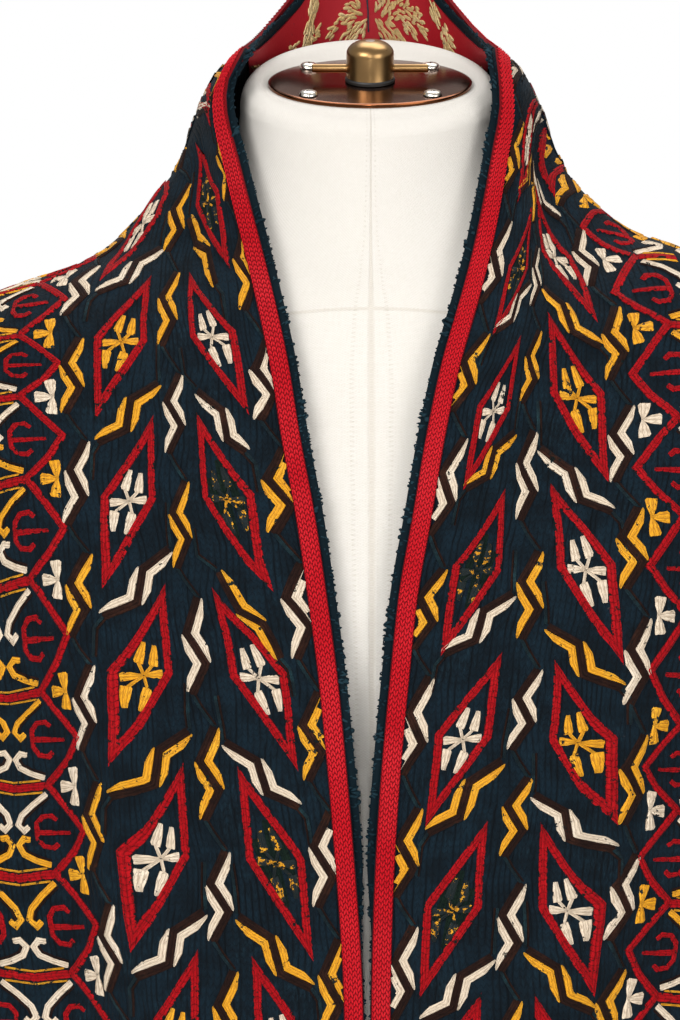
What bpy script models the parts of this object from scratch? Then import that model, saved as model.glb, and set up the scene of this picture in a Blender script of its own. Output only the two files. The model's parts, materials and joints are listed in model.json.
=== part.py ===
"""Long embroidered chapan, worn open on a tailor's dress form with a stand.

Metres, +Z up. The front faces -Y, and +X is the wearer's left. The origin is the centre of the
stand's foot, on the floor. The coat is cut straight: two fronts and a back that meet at the
shoulder, a gore under each arm, and two sleeves that hang empty.
"""

import math
from typing import NamedTuple

import bmesh
import bpy
import numpy as np

CLOTH = 0.0019
SEAM_GAP = 0.0003
SEAT_GAP = 0.0004
BRAID_WIDTH = 0.0092
BRAID_THICK = 0.0014
CORD_WIDTH = 0.0034
CORD_THICK = 0.0016
BACK_BRAID_RISE = 0.0038
CORD_TUCK = 1.120
LINING_THICK = 0.0010
CONTOUR_STEPS = 201
PAST_MIDDLE = 0.30
TRACE_STEPS = 150

COLLAR_TOP = 1.566
NECK_SEAM = 1.4998
SHOULDER_END = 1.352
UNDERARM = 1.165
HEM = 0.280
ARMHOLE_REACH = 0.044
GORE_TOP_HALF = 0.006
PANEL_HEM_WIDTH = 0.262
SHOULDER_LIFT = 0.0103
LIFT_FROM = 0.106
LIFT_RUN = 0.032


class CoatLevel(NamedTuple):
    """Plan outline of the coat at one height: half width, depth in front and behind, squareness."""

    z: float
    half_width: float
    front: float
    back: float
    square: float


COAT = (
    CoatLevel(1.5900, 0.0540, 0.040, 0.068, 2.00),
    CoatLevel(1.5400, 0.0575, 0.042, 0.075, 2.00),
    CoatLevel(1.4998, 0.0605, 0.045, 0.081, 2.00),
    CoatLevel(1.4948, 0.0680, 0.046, 0.083, 2.00),
    CoatLevel(1.4889, 0.0738, 0.047, 0.084, 2.00),
    CoatLevel(1.4840, 0.0770, 0.048, 0.085, 2.00),
    CoatLevel(1.4740, 0.0830, 0.050, 0.087, 2.00),
    CoatLevel(1.4459, 0.0920, 0.053, 0.090, 2.05),
    CoatLevel(1.4327, 0.1010, 0.057, 0.093, 2.10),
    CoatLevel(1.4195, 0.1115, 0.061, 0.096, 2.15),
    CoatLevel(1.4065, 0.1215, 0.064, 0.099, 2.20),
    CoatLevel(1.3975, 0.1315, 0.067, 0.101, 2.25),
    CoatLevel(1.3905, 0.1515, 0.070, 0.104, 2.30),
    CoatLevel(1.3800, 0.1805, 0.076, 0.108, 2.35),
    CoatLevel(1.3660, 0.2150, 0.083, 0.112, 2.40),
    CoatLevel(1.3520, 0.2360, 0.090, 0.116, 2.40),
    CoatLevel(1.3200, 0.2400, 0.102, 0.122, 2.40),
    CoatLevel(1.2700, 0.2330, 0.118, 0.127, 2.40),
    CoatLevel(1.2150, 0.2230, 0.129, 0.126, 2.40),
    CoatLevel(1.1650, 0.2150, 0.132, 0.121, 2.40),
    CoatLevel(1.1000, 0.2140, 0.129, 0.114, 2.35),
    CoatLevel(1.0200, 0.2210, 0.128, 0.113, 2.30),
    CoatLevel(0.9000, 0.2390, 0.137, 0.126, 2.25),
    CoatLevel(0.7000, 0.2720, 0.158, 0.150, 2.20),
    CoatLevel(0.5000, 0.3050, 0.181, 0.175, 2.15),
    CoatLevel(0.2700, 0.3400, 0.206, 0.204, 2.10),
)


class EdgePoint(NamedTuple):
    """Distances of the two fronts' free edges from the middle, at one height."""

    z: float
    right: float
    left: float


FRONT_EDGE = (
    EdgePoint(1.4998, 0.0605, 0.0605),
    EdgePoint(1.4910, 0.0635, 0.0600),
    EdgePoint(1.4840, 0.0675, 0.0612),
    EdgePoint(1.4740, 0.0698, 0.0618),
    EdgePoint(1.4645, 0.0685, 0.0615),
    EdgePoint(1.4450, 0.0635, 0.0575),
    EdgePoint(1.427, 0.0589, 0.0542),
    EdgePoint(1.387, 0.0485, 0.0453),
    EdgePoint(1.348, 0.0394, 0.0336),
    EdgePoint(1.311, 0.0333, 0.0253),
    EdgePoint(1.273, 0.0261, 0.0186),
    EdgePoint(1.237, 0.0207, 0.0120),
    EdgePoint(1.200, 0.0157, 0.0080),
    EdgePoint(1.163, 0.0120, 0.0045),
    EdgePoint(1.123, 0.0085, 0.0016),
    EdgePoint(1.096, 0.0067, 0.0006),
    EdgePoint(1.041, 0.0036, -0.0008),
    EdgePoint(0.900, 0.0034, -0.0008),
    EdgePoint(0.270, 0.0100, 0.0040),
)


class CollarPoint(NamedTuple):
    """A point of the neck edge behind the neck, seen from the front."""

    x: float
    z: float


COLLAR = (
    CollarPoint(0.0000, COLLAR_TOP),
    CollarPoint(0.0120, 1.5625),
    CollarPoint(0.0230, 1.5520),
    CollarPoint(0.0320, 1.5390),
    CollarPoint(0.0388, 1.5289),
    CollarPoint(0.0469, 1.5188),
    CollarPoint(0.0550, 1.5086),
    CollarPoint(0.0605, NECK_SEAM),
)


class Fold(NamedTuple):
    """A soft ridge (positive depth) or valley that runs down the coat on one side of the body.

    side is -1, 1, or 0 for both. Its place and half width are shares of the way round from the
    front edge to the middle of the back, at its top and at its foot.
    """

    side: int
    top: float
    foot: float
    place_top: float
    place_foot: float
    half_top: float
    half_foot: float
    depth_top: float
    depth_foot: float


FOLDS = (
    Fold(-1, 1.480, 1.300, 0.165, 0.075, 0.110, 0.055, -0.009, -0.004),
    Fold(1, 1.485, 1.215, 0.205, 0.085, 0.120, 0.050, -0.013, -0.007),
    Fold(1, 1.440, 1.230, 0.330, 0.185, 0.090, 0.055, 0.004, 0.003),
    Fold(-1, 1.330, HEM, 0.300, 0.150, 0.080, 0.090, -0.004, -0.0297),
    Fold(1, 1.300, HEM, 0.290, 0.130, 0.080, 0.080, -0.004, -0.0257),
    Fold(-1, 1.250, HEM, 0.180, 0.060, 0.070, 0.060, 0.003, 0.0135),
    Fold(1, 1.260, HEM, 0.170, 0.050, 0.070, 0.060, 0.003, 0.0121),
    Fold(-1, 1.150, HEM, 0.400, 0.270, 0.080, 0.075, 0.003, 0.0216),
    Fold(1, 1.150, HEM, 0.395, 0.240, 0.080, 0.075, 0.003, 0.0243),
    Fold(-1, 1.140, HEM, 0.470, 0.370, 0.070, 0.070, -0.003, -0.0284),
    Fold(1, 1.120, HEM, 0.480, 0.350, 0.070, 0.070, -0.003, -0.0324),
    Fold(-1, 1.130, HEM, 0.550, 0.470, 0.070, 0.070, 0.002, 0.0230),
    Fold(1, 1.130, HEM, 0.560, 0.460, 0.070, 0.075, 0.002, 0.0257),
    Fold(-1, 1.150, HEM, 0.620, 0.575, 0.070, 0.075, -0.003, -0.0270),
    Fold(1, 1.160, HEM, 0.640, 0.590, 0.070, 0.075, -0.003, -0.0297),
    Fold(-1, 1.240, HEM, 0.720, 0.700, 0.070, 0.080, 0.003, 0.0203),
    Fold(1, 1.250, HEM, 0.740, 0.725, 0.070, 0.080, 0.003, 0.0189),
    Fold(-1, 1.320, HEM, 0.830, 0.820, 0.075, 0.080, -0.004, -0.0270),
    Fold(1, 1.330, HEM, 0.850, 0.855, 0.075, 0.080, -0.004, -0.0243),
    Fold(0, 1.180, HEM, 0.960, 0.960, 0.060, 0.080, 0.002, 0.0135),
)

FRONT_COLUMNS = (0.09, 0.145, 0.205, 0.275, 0.36, 0.455, 0.56, 0.67, 0.77, 0.86, 0.94, 1.0)
COLLAR_COLUMNS = (0.0, 0.13, 0.27, 0.42, 0.57, 0.72, 0.87, 1.0)
RIDGE_COLUMNS = (0.15, 0.28, 0.42, 0.56, 0.70, 0.83, 0.93, 1.0)
UPPER_ROWS = (0.058, 0.095, 0.14, 0.195, 0.26, 0.335, 0.42, 0.51, 0.61, 0.71, 0.81, 0.905, 1.0)
LOWER_ROWS = (0.055, 0.12, 0.19, 0.265, 0.345, 0.43, 0.52, 0.61, 0.705, 0.80, 0.90, 1.0)
UNDERARM_ROW = len(UPPER_ROWS) + 1
GORE_COLUMNS = (0.0, 0.25, 0.5, 0.75, 1.0)


class SleeveRing(NamedTuple):
    """A ring of an empty sleeve: its outer and inner line seen from the front, and its half depth."""

    outer_x: float
    outer_z: float
    inner_x: float
    inner_z: float
    half_depth: float
    square: float


SLEEVE = (
    SleeveRing(0.2500, 1.344, 0.2180, 1.158, 0.049, 2.0),
    SleeveRing(0.2640, 1.327, 0.2225, 1.147, 0.056, 2.0),
    SleeveRing(0.2760, 1.302, 0.2270, 1.134, 0.063, 2.1),
    SleeveRing(0.2850, 1.268, 0.2315, 1.117, 0.070, 2.1),
    SleeveRing(0.2910, 1.226, 0.2360, 1.096, 0.076, 2.2),
    SleeveRing(0.2950, 1.176, 0.2405, 1.070, 0.081, 2.2),
    SleeveRing(0.2980, 1.120, 0.2450, 1.036, 0.084, 2.3),
    SleeveRing(0.3010, 1.058, 0.2500, 0.994, 0.086, 2.3),
    SleeveRing(0.3045, 0.990, 0.2560, 0.945, 0.086, 2.4),
    SleeveRing(0.3090, 0.918, 0.2640, 0.888, 0.084, 2.4),
    SleeveRing(0.3160, 0.842, 0.2765, 0.826, 0.081, 2.4),
    SleeveRing(0.3250, 0.765, 0.2890, 0.757, 0.078, 2.4),
    SleeveRing(0.3340, 0.690, 0.3010, 0.686, 0.075, 2.4),
    SleeveRing(0.3410, 0.625, 0.3105, 0.622, 0.073, 2.4),
)
ARMHOLE_ROWS = (2, 4, 6, 8, 10, 12, 14)
SLEEVE_CREASES = 3
SLEEVE_CREASE_DEPTH = 0.0035


class TorsoRing(NamedTuple):
    """A ring of the dress form's body. lean raises its back above its front, in degrees."""

    z: float
    half_width: float
    front: float
    back: float
    square: float
    lean: float


TORSO = (
    TorsoRing(0.760, 0.150, 0.098, 0.104, 2.20, 0.0),
    TorsoRing(0.800, 0.164, 0.106, 0.112, 2.20, 0.0),
    TorsoRing(0.870, 0.170, 0.108, 0.114, 2.20, 0.0),
    TorsoRing(0.950, 0.152, 0.098, 0.096, 2.15, 0.0),
    TorsoRing(1.025, 0.126, 0.088, 0.082, 2.10, 0.0),
    TorsoRing(1.100, 0.136, 0.098, 0.088, 2.10, 0.0),
    TorsoRing(1.160, 0.152, 0.111, 0.097, 2.20, 0.0),
    TorsoRing(1.215, 0.164, 0.117, 0.108, 2.30, 0.0),
    TorsoRing(1.270, 0.172, 0.106, 0.113, 2.35, 0.0),
    TorsoRing(1.315, 0.184, 0.091, 0.110, 2.35, 0.0),
    TorsoRing(1.345, 0.191, 0.080, 0.104, 2.30, 0.0),
    TorsoRing(1.363, 0.188, 0.072, 0.098, 2.20, 0.0),
    TorsoRing(1.3777, 0.168, 0.065, 0.092, 2.15, 2.0),
    TorsoRing(1.3877, 0.147, 0.060, 0.087, 2.10, 4.0),
    TorsoRing(1.3984, 0.124, 0.055, 0.081, 2.05, 6.0),
    TorsoRing(1.411, 0.101, 0.052, 0.074, 2.00, 9.0),
    TorsoRing(1.427, 0.080, 0.051, 0.066, 2.00, 12.0),
    TorsoRing(1.447, 0.067, 0.051, 0.059, 2.00, 16.0),
    TorsoRing(1.468, 0.0635, 0.052, 0.056, 2.00, 20.0),
    TorsoRing(1.4755, 0.0632, 0.0520, 0.0570, 2.00, 23.5),
    TorsoRing(1.4810, 0.0612, 0.0500, 0.0560, 2.00, 26.0),
    TorsoRing(1.4838, 0.0575, 0.0462, 0.0525, 2.00, 27.0),
    TorsoRing(1.4836, 0.0540, 0.0420, 0.0475, 2.00, 26.5),
    TorsoRing(1.4818, 0.0518, 0.0386, 0.0420, 2.00, 23.5),
    TorsoRing(1.4815, 0.0508, 0.0372, 0.0398, 2.00, 22.0),
)
TORSO_SIDES = 32

NECK_LEAN = 22.0
NECK_TOP = 1.4815
NECK_MIDDLE_Y = 0.0015
PLATE_HALF_WIDTH = 0.0500
PLATE_HALF_DEPTH = 0.0405
PLATE_THICK = 0.0022
PLATE_SIDES = 48
KNOB_RADIUS = 0.0116
KNOB_FOOT_RADIUS = 0.0122
KNOB_HEIGHT = 0.0200
KNOB_DOME = 0.0065
KNOB_SIDES = 32
BAR_RADIUS = 0.0021
BAR_HALF_LENGTH = 0.0285
BAR_HEIGHT = 0.0060
BAR_HOLE_CLEARANCE = 0.0003
BAR_SIDES = 12
SCREW_RADIUS = 0.0046
SCREW_HEIGHT = 0.0021
SCREW_X = 0.0300
SCREW_Y = 0.0245

POLE_RADIUS = 0.0125
POLE_SIDES = 24
FOOT_RADIUS = 0.185
FOOT_EDGE = 0.010
FOOT_BOSS_RADIUS = 0.034
FOOT_HEIGHT = 0.052
FLANGE_RADIUS = 0.060
FLANGE_THICK = 0.008
FLANGE_BOSS_RADIUS = 0.021
FLANGE_BOSS_DROP = 0.032
TURNED_SIDES = 40


def curve_through(knots, values, at):
    """Smooth curve through a table's points that never swings past them."""
    knots = np.asarray(knots, float)
    values = np.asarray(values, float)
    if knots[0] > knots[-1]:
        knots, values = knots[::-1], values[::-1]
    step = np.diff(knots)
    slope = np.diff(values) / step
    tangent = np.zeros(len(knots))
    tangent[0], tangent[-1] = slope[0], slope[-1]
    for i in range(1, len(knots) - 1):
        if slope[i - 1] * slope[i] > 0:
            before = 2 * step[i] + step[i - 1]
            after = step[i] + 2 * step[i - 1]
            tangent[i] = (before + after) / (before / slope[i - 1] + after / slope[i])
    at = np.clip(np.asarray(at, float), knots[0], knots[-1])
    k = np.clip(np.searchsorted(knots, at) - 1, 0, len(step) - 1)
    t = (at - knots[k]) / step[k]
    rise = t * t * (3 - 2 * t)
    start = t * (1 - t) ** 2
    end = t * t * (t - 1)
    return (
        values[k] * (1 - rise)
        + values[k + 1] * rise
        + step[k] * (tangent[k] * start + tangent[k + 1] * end)
    )


def column(table, name):
    """One named column of a table."""
    return [getattr(row, name) for row in table]


def coat_size(name, z):
    """A size of the coat's outline at height z."""
    return float(curve_through(column(COAT, "z"), column(COAT, name), z))


def edge_reach(side, z):
    """Distance of a front's free edge from the middle at height z."""
    name = "left" if side > 0 else "right"
    return float(curve_through(column(FRONT_EDGE, "z"), column(FRONT_EDGE, name), z))


def collar_height(x):
    """Height of the neck edge behind the neck, x from the middle."""
    return float(curve_through(column(COLLAR, "x"), column(COLLAR, "z"), x))


def smooth_step(x):
    """0 below 0, 1 above 1, and smooth between."""
    t = np.clip(x, 0.0, 1.0)
    return t * t * (3 - 2 * t)


def round_outline(half_width, front, back, square, angle):
    """Plan points of a squared ellipse. The angle is 0 at the front and pi at the back."""
    power = 2.0 / square
    x = half_width * np.abs(np.sin(angle)) ** power * np.sign(np.sin(angle))
    depth = np.where(np.cos(angle) > 0, front, back)
    y = -depth * np.abs(np.cos(angle)) ** power * np.sign(np.cos(angle))
    return x, y


class Contour:
    """The coat's outline in plan at one height and side, from mid-front round to mid-back."""

    def __init__(self, side, z):
        self.side = side
        self.z = z
        angle = np.linspace(-PAST_MIDDLE, math.pi, CONTOUR_STEPS)
        sizes = [coat_size(name, z) for name in ("half_width", "front", "back", "square")]
        self.x, self.y = round_outline(*sizes, angle)
        walked = walked_along(np.stack([self.x, self.y], axis=1))
        self.s = walked - np.interp(0.0, angle, walked)
        self.front = angle <= math.pi / 2
        self.flank = float(np.interp(math.pi / 2, angle, self.s))
        self.back = float(self.s[-1])
        self.edge = self.front_place(edge_reach(side, z)) if z <= NECK_SEAM else 0.0

    def front_place(self, x):
        """Distance along the outline to the point in front that is x from the middle."""
        return float(np.interp(x, self.x[self.front], self.s[self.front]))

    def back_place(self, x):
        """Distance along the outline to the point behind that is x from the middle."""
        return float(np.interp(-x, -self.x[~self.front], self.s[~self.front]))

    def point(self, s):
        """The folded cloth's point s along the outline."""
        x, y = np.interp(s, self.s, self.x), np.interp(s, self.s, self.y)
        near = 0.002
        dx = np.interp(s + near, self.s, self.x) - np.interp(s - near, self.s, self.x)
        dy = np.interp(s + near, self.s, self.y) - np.interp(s - near, self.s, self.y)
        length = math.hypot(dx, dy) or 1.0
        share = (s - self.edge) / (self.back - self.edge)
        depth = fold_depth(self.side, self.z, share)
        x += dy / length * depth
        y -= dx / length * depth
        return np.array([self.side * x, y, self.z + shoulder_lift(self.side, x, self.z)])


def shoulder_lift(side, x, z):
    """How much higher the wearer's left shoulder sits."""
    if side < 0:
        return 0.0
    return SHOULDER_LIFT * smooth_step((x - LIFT_FROM) / LIFT_RUN) * smooth_step((z - 1.23) / 0.12)


def fold_depth(side, z, share):
    """How far the cloth stands out or in at a height and a share of the way round."""
    depth = 0.0
    for fold in FOLDS:
        if fold.side not in (0, side) or z >= fold.top:
            continue
        down = (fold.top - z) / (fold.top - fold.foot)
        if fold.foot > HEM and down > 1:
            continue
        down = min(down, 1.0)
        place = fold.place_top + (fold.place_foot - fold.place_top) * down
        half = fold.half_top + (fold.half_foot - fold.half_top) * down
        away = abs(share - place) / half
        if away >= 1:
            continue
        size = fold.depth_top + (fold.depth_foot - fold.depth_top) * down
        fade = smooth_step((fold.top - z) / 0.06)
        if fold.foot > HEM:
            fade *= smooth_step((z - fold.foot) / 0.08)
        depth += size * fade * 0.5 * (1 + math.cos(math.pi * away))
    return depth


def armhole_reach(z):
    """How far the armhole's edge lies in front of or behind the side of the body."""
    along = (SHOULDER_END - z) / (SHOULDER_END - UNDERARM)
    return 2 * ARMHOLE_REACH * math.sqrt(max(0.0, along * (1 - along)))


def panel_side(contour, front):
    """Distance along the outline to a panel's side edge: the armhole, then the gore's seam."""
    z = contour.z
    inner = contour.edge if front else contour.back
    outward = 1 if front else -1
    if z >= UNDERARM:
        ease = float(smooth_step((UNDERARM + 0.03 - z) / 0.03))
        return contour.flank - outward * max(armhole_reach(z), GORE_TOP_HALF * ease)
    down = (UNDERARM - z) / (UNDERARM - HEM)
    start = abs(contour.flank - inner) - GORE_TOP_HALF
    return inner + outward * (start + (PANEL_HEM_WIDTH - start) * down)


def ridge_line():
    """The shoulder seam on one side: widths and heights, with the length walked from the neck."""
    z = np.linspace(NECK_SEAM, SHOULDER_END, 80)
    x = curve_through(column(COAT, "z"), column(COAT, "half_width"), z)
    return x, z, walked_along(np.stack([x, z], axis=1))


def walked_along(points):
    """Length walked from a line's first point to each of its points."""
    run = np.linalg.norm(np.diff(points, axis=0), axis=1)
    return np.concatenate([[0.0], np.cumsum(run)])


def trace(side, front, share, top_x, top_z, beside_edge=False):
    """A warp line of a panel from its top edge to the hem, as many close points.

    It leaves the top edge straight down, drifting with the free edge, and below the shoulder it
    keeps its share of the way from the panel's inner edge to its side edge. The line beside a
    free edge keeps one braid's width from that edge instead.
    """

    def place(contour):
        if not front:
            return contour.back_place(top_x)
        drift = edge_reach(side, contour.z) - edge_reach(side, top_z)
        return contour.front_place(top_x + drift * (1 - share))

    low = Contour(side, SHOULDER_END)
    inner = low.edge if front else low.back
    low_share = 1.0 if share == 1.0 else (place(low) - inner) / (panel_side(low, front) - inner)
    points = []
    for step in np.linspace(0.0, 1.0, TRACE_STEPS):
        z = top_z + (HEM - top_z) * step**1.8
        contour = Contour(side, z)
        inner = contour.edge if front else contour.back
        if step == 0.0 and top_z <= NECK_SEAM:
            s = contour.flank
        elif beside_edge:
            s = min(inner + BRAID_WIDTH, contour.flank)
        elif z > SHOULDER_END:
            s = place(contour)
        else:
            s = inner + low_share * (panel_side(contour, front) - inner)
        points.append(contour.point(s))
    return np.array(points)


def spaced_down(line):
    """The points of a warp line at the panel's weft rows, above and below the underarm."""
    walked = walked_along(line)
    underarm = float(np.interp(-UNDERARM, -line[:, 2], walked))
    rows = [0.0, BRAID_WIDTH]
    rows += [underarm * row for row in UPPER_ROWS]
    rows += [underarm + (walked[-1] - underarm) * row for row in LOWER_ROWS]
    return np.stack([np.interp(rows, walked, line[:, k]) for k in range(3)], axis=1)


def front_grid(side):
    """Outer points of a front panel, by row and column, from its free edge to its side."""
    ridge_x, ridge_z, walked = ridge_line()
    columns = []
    braid_share = BRAID_WIDTH / walked[-1]
    for share in (0.0, braid_share, *FRONT_COLUMNS):
        at = share * walked[-1]
        top_x = float(np.interp(at, walked, ridge_x))
        top_z = float(np.interp(at, walked, ridge_z))
        line = trace(side, True, share, top_x, top_z, beside_edge=share == braid_share)
        columns.append(spaced_down(line))
    return np.stack(columns, axis=1)


def back_half_grid(side):
    """Outer points of half the back, from the middle to the side."""
    ridge_x, ridge_z, walked = ridge_line()
    collar_x = np.linspace(0.0, COLLAR[-1].x, 60)
    collar_z = np.array([collar_height(x) for x in collar_x])
    collar_walked = walked_along(np.stack([collar_x, collar_z], axis=1))
    whole = collar_walked[-1] + walked[-1]
    tops = []
    for share in COLLAR_COLUMNS:
        at = share * collar_walked[-1]
        top_x = float(np.interp(at, collar_walked, collar_x))
        tops.append((at / whole, top_x, collar_height(top_x)))
    for share in (BRAID_WIDTH / walked[-1], *RIDGE_COLUMNS):
        at = share * walked[-1]
        top_x = float(np.interp(at, walked, ridge_x))
        top_z = float(np.interp(at, walked, ridge_z))
        tops.append(((collar_walked[-1] + at) / whole, top_x, top_z))
    return np.stack([spaced_down(trace(side, False, *top)) for top in tops], axis=1)


def back_grid():
    """Outer points of the back, from the wearer's right side to the left."""
    right, left = back_half_grid(-1), back_half_grid(1)
    return np.concatenate([right[:, ::-1], left[:, 1:]], axis=1)


def gore_grid(side, front_side, back_side):
    """Outer points of a gore between the side edges of a front and of the back."""
    rows = []
    for ahead, behind in zip(front_side[UNDERARM_ROW:], back_side[UNDERARM_ROW:]):
        row = [ahead]
        for share in GORE_COLUMNS[1:-1]:
            contour = Contour(side, ahead[2] + (behind[2] - ahead[2]) * share)
            start, end = panel_side(contour, True), panel_side(contour, False)
            row.append(contour.point(start + (end - start) * share))
        rows.append([*row, behind])
    return np.array(rows)


def unit(vectors):
    """Vectors of length one along the last axis."""
    return vectors / np.maximum(np.linalg.norm(vectors, axis=-1, keepdims=True), 1e-12)


def outward_normals(grid, closed=False):
    """Unit normals of a grid of points, turned to face away from the grid's upright axis."""
    if closed:
        across = np.roll(grid, -1, axis=1) - np.roll(grid, 1, axis=1)
    else:
        across = np.gradient(grid, axis=1)
    normal = unit(np.cross(across, np.gradient(grid, axis=0)))
    middle = grid.mean(axis=1, keepdims=True) if closed else np.zeros(3)
    away = (grid - middle) * np.array([1.0, 1.0, 0.0])
    return normal if (normal * away).sum() > 0 else -normal


def ridge_normals(line, side):
    """Normals along the shoulder seam, which the front and the back share."""
    along = np.gradient(line, axis=0)
    upright = [side * np.abs(along[:, 2]), 0 * along[:, 1], np.abs(along[:, 0])]
    return unit(np.stack(upright, axis=1))


def share_normals(one, other):
    """Gives two panels' normals along their common seam one value, in place."""
    both = unit(one + other)
    one[:] = both
    other[:] = both


def drawn_in(grid, gaps):
    """A grid whose named sides are drawn in by a seam gap."""
    grid = grid.copy()
    for name in gaps:
        line, beside = {
            "top": (grid[0], grid[1]),
            "first": (grid[:, 0], grid[:, 1]),
            "last": (grid[:, -1], grid[:, -2]),
        }[name]
        line += unit(beside - line) * SEAM_GAP
    return grid


def wall_mesh(outer, inner, guide, closed=False):
    """Vertices and faces of a cloth wall between two matching grids of points.

    Each cell is cut along the shorter diagonal of the guide's cell, so that layers which share a
    guide never cut through each other.
    """
    rows, columns = outer.shape[:2]
    count = rows * columns
    vertices = np.concatenate([outer.reshape(-1, 3), inner.reshape(-1, 3)])

    def at(row, col, layer):
        return layer * count + row * columns + col % columns

    faces = []
    spans = columns if closed else columns - 1
    for row in range(rows - 1):
        for col in range(spans):
            ring = [(row, col), (row + 1, col), (row + 1, col + 1), (row, col + 1)]
            corner = [guide[r, c % columns] for r, c in ring]
            if np.linalg.norm(corner[0] - corner[2]) > np.linalg.norm(corner[1] - corner[3]):
                ring = ring[1:] + ring[:1]
            for cut in ((0, 1, 2), (0, 2, 3)):
                faces.append([at(*ring[k], 0) for k in cut])
                faces.append([at(*ring[k], 1) for k in reversed(cut)])
    last = rows - 1
    for col in range(spans):
        faces.append([at(0, col, 0), at(0, col + 1, 0), at(0, col + 1, 1), at(0, col, 1)])
        foot = [at(last, col, 0), at(last, col, 1), at(last, col + 1, 1), at(last, col + 1, 0)]
        faces.append(foot)
    if not closed:
        end = columns - 1
        for row in range(rows - 1):
            faces.append([at(row, 0, 0), at(row, 0, 1), at(row + 1, 0, 1), at(row + 1, 0, 0)])
            side = [at(row, end, 0), at(row + 1, end, 0), at(row + 1, end, 1), at(row, end, 1)]
            faces.append(side)
    return vertices, faces


def add_object(name, vertices, faces, material, smooth_angle=50.0):
    """A named mesh object whose faces point out, at the origin."""
    mesh = bpy.data.meshes.new(name)
    mesh.from_pydata([tuple(v) for v in vertices], [], faces)
    work = bmesh.new()
    work.from_mesh(mesh)
    bmesh.ops.remove_doubles(work, verts=work.verts, dist=1e-6)
    bmesh.ops.dissolve_degenerate(work, edges=work.edges, dist=1e-7)
    bmesh.ops.recalc_face_normals(work, faces=work.faces)
    if work.calc_volume(signed=True) < 0:
        bmesh.ops.reverse_faces(work, faces=work.faces)
    work.to_mesh(mesh)
    work.free()
    mesh.shade_smooth()
    mesh.set_sharp_from_angle(angle=math.radians(smooth_angle))
    mesh.materials.append(material)
    obj = bpy.data.objects.new(name, mesh)
    bpy.context.scene.collection.objects.link(obj)
    return obj


def finish(name, colour, roughness, metallic=0.0):
    """A plain material in the photographed colour."""
    material = bpy.data.materials.new(name)
    material.use_nodes = True
    shader = material.node_tree.nodes["Principled BSDF"]
    shader.inputs["Base Color"].default_value = (*colour, 1.0)
    shader.inputs["Roughness"].default_value = roughness
    shader.inputs["Metallic"].default_value = metallic
    return material


def cloth_panel(name, grid, normal, gaps, material):
    """A panel of the coat as a wall of cloth, drawn in at its seams."""
    outer = drawn_in(grid, gaps)
    return add_object(name, *wall_mesh(outer, outer - normal * CLOTH, grid), material)


def sleeve_rings(side, sides):
    """Outer points of an empty sleeve, ring by ring from the armhole to the cuff."""
    angle = np.linspace(0.0, 2 * math.pi, sides, endpoint=False)
    rings = []
    for number, ring in enumerate(SLEEVE):
        outer = np.array([ring.outer_x, 0.0, ring.outer_z])
        inner = np.array([ring.inner_x, 0.0, ring.inner_z])
        middle, half = (outer + inner) / 2, (outer - inner) / 2
        power = 2.0 / ring.square
        along = np.abs(np.cos(angle)) ** power * np.sign(np.cos(angle))
        beside = np.abs(np.sin(angle)) ** power * np.sign(np.sin(angle))
        down = number / (len(SLEEVE) - 1)
        crease = SLEEVE_CREASE_DEPTH * math.sin(math.pi * min(1.0, down * 1.6))
        wave = 1 - crease / ring.half_depth * (1 + np.cos(SLEEVE_CREASES * angle + 5 * down))
        points = middle + np.outer(along * wave, half)
        points[:, 1] -= ring.half_depth * beside * wave
        points[:, 2] += shoulder_lift(side, points[:, 0], points[:, 2])
        points[:, 0] *= side
        rings.append(points)
    return np.array(rings)


def make_sleeve(name, side, front, back_half, gore, material):
    """A sleeve that falls from the armhole and hangs flattened beside the coat."""
    rows = list(ARMHOLE_ROWS)
    under = gore[0, len(GORE_COLUMNS) // 2]
    loop = np.array([front[0, -1], *front[rows, -1], under, *back_half[rows[::-1], -1]])
    rings = sleeve_rings(side, len(loop))
    loop += unit(rings[0] - loop) * 2 * SEAM_GAP
    rings = np.concatenate([loop[None], rings])
    inner = rings - outward_normals(rings, closed=True) * CLOTH
    return add_object(name, *wall_mesh(rings, inner, rings, closed=True), material)


class EdgeLine(NamedTuple):
    """The coat's free edge from one hem round the neck to the other.

    beside lies one braid's width in from each edge point. rise is how far the braid stands past
    the cloth. inside and tuck, from 0 to 1, take the cord behind the cloth and then in from its
    edge.
    """

    edge: np.ndarray
    beside: np.ndarray
    normal: np.ndarray
    beside_normal: np.ndarray
    rise: np.ndarray
    inside: np.ndarray
    tuck: np.ndarray


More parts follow.
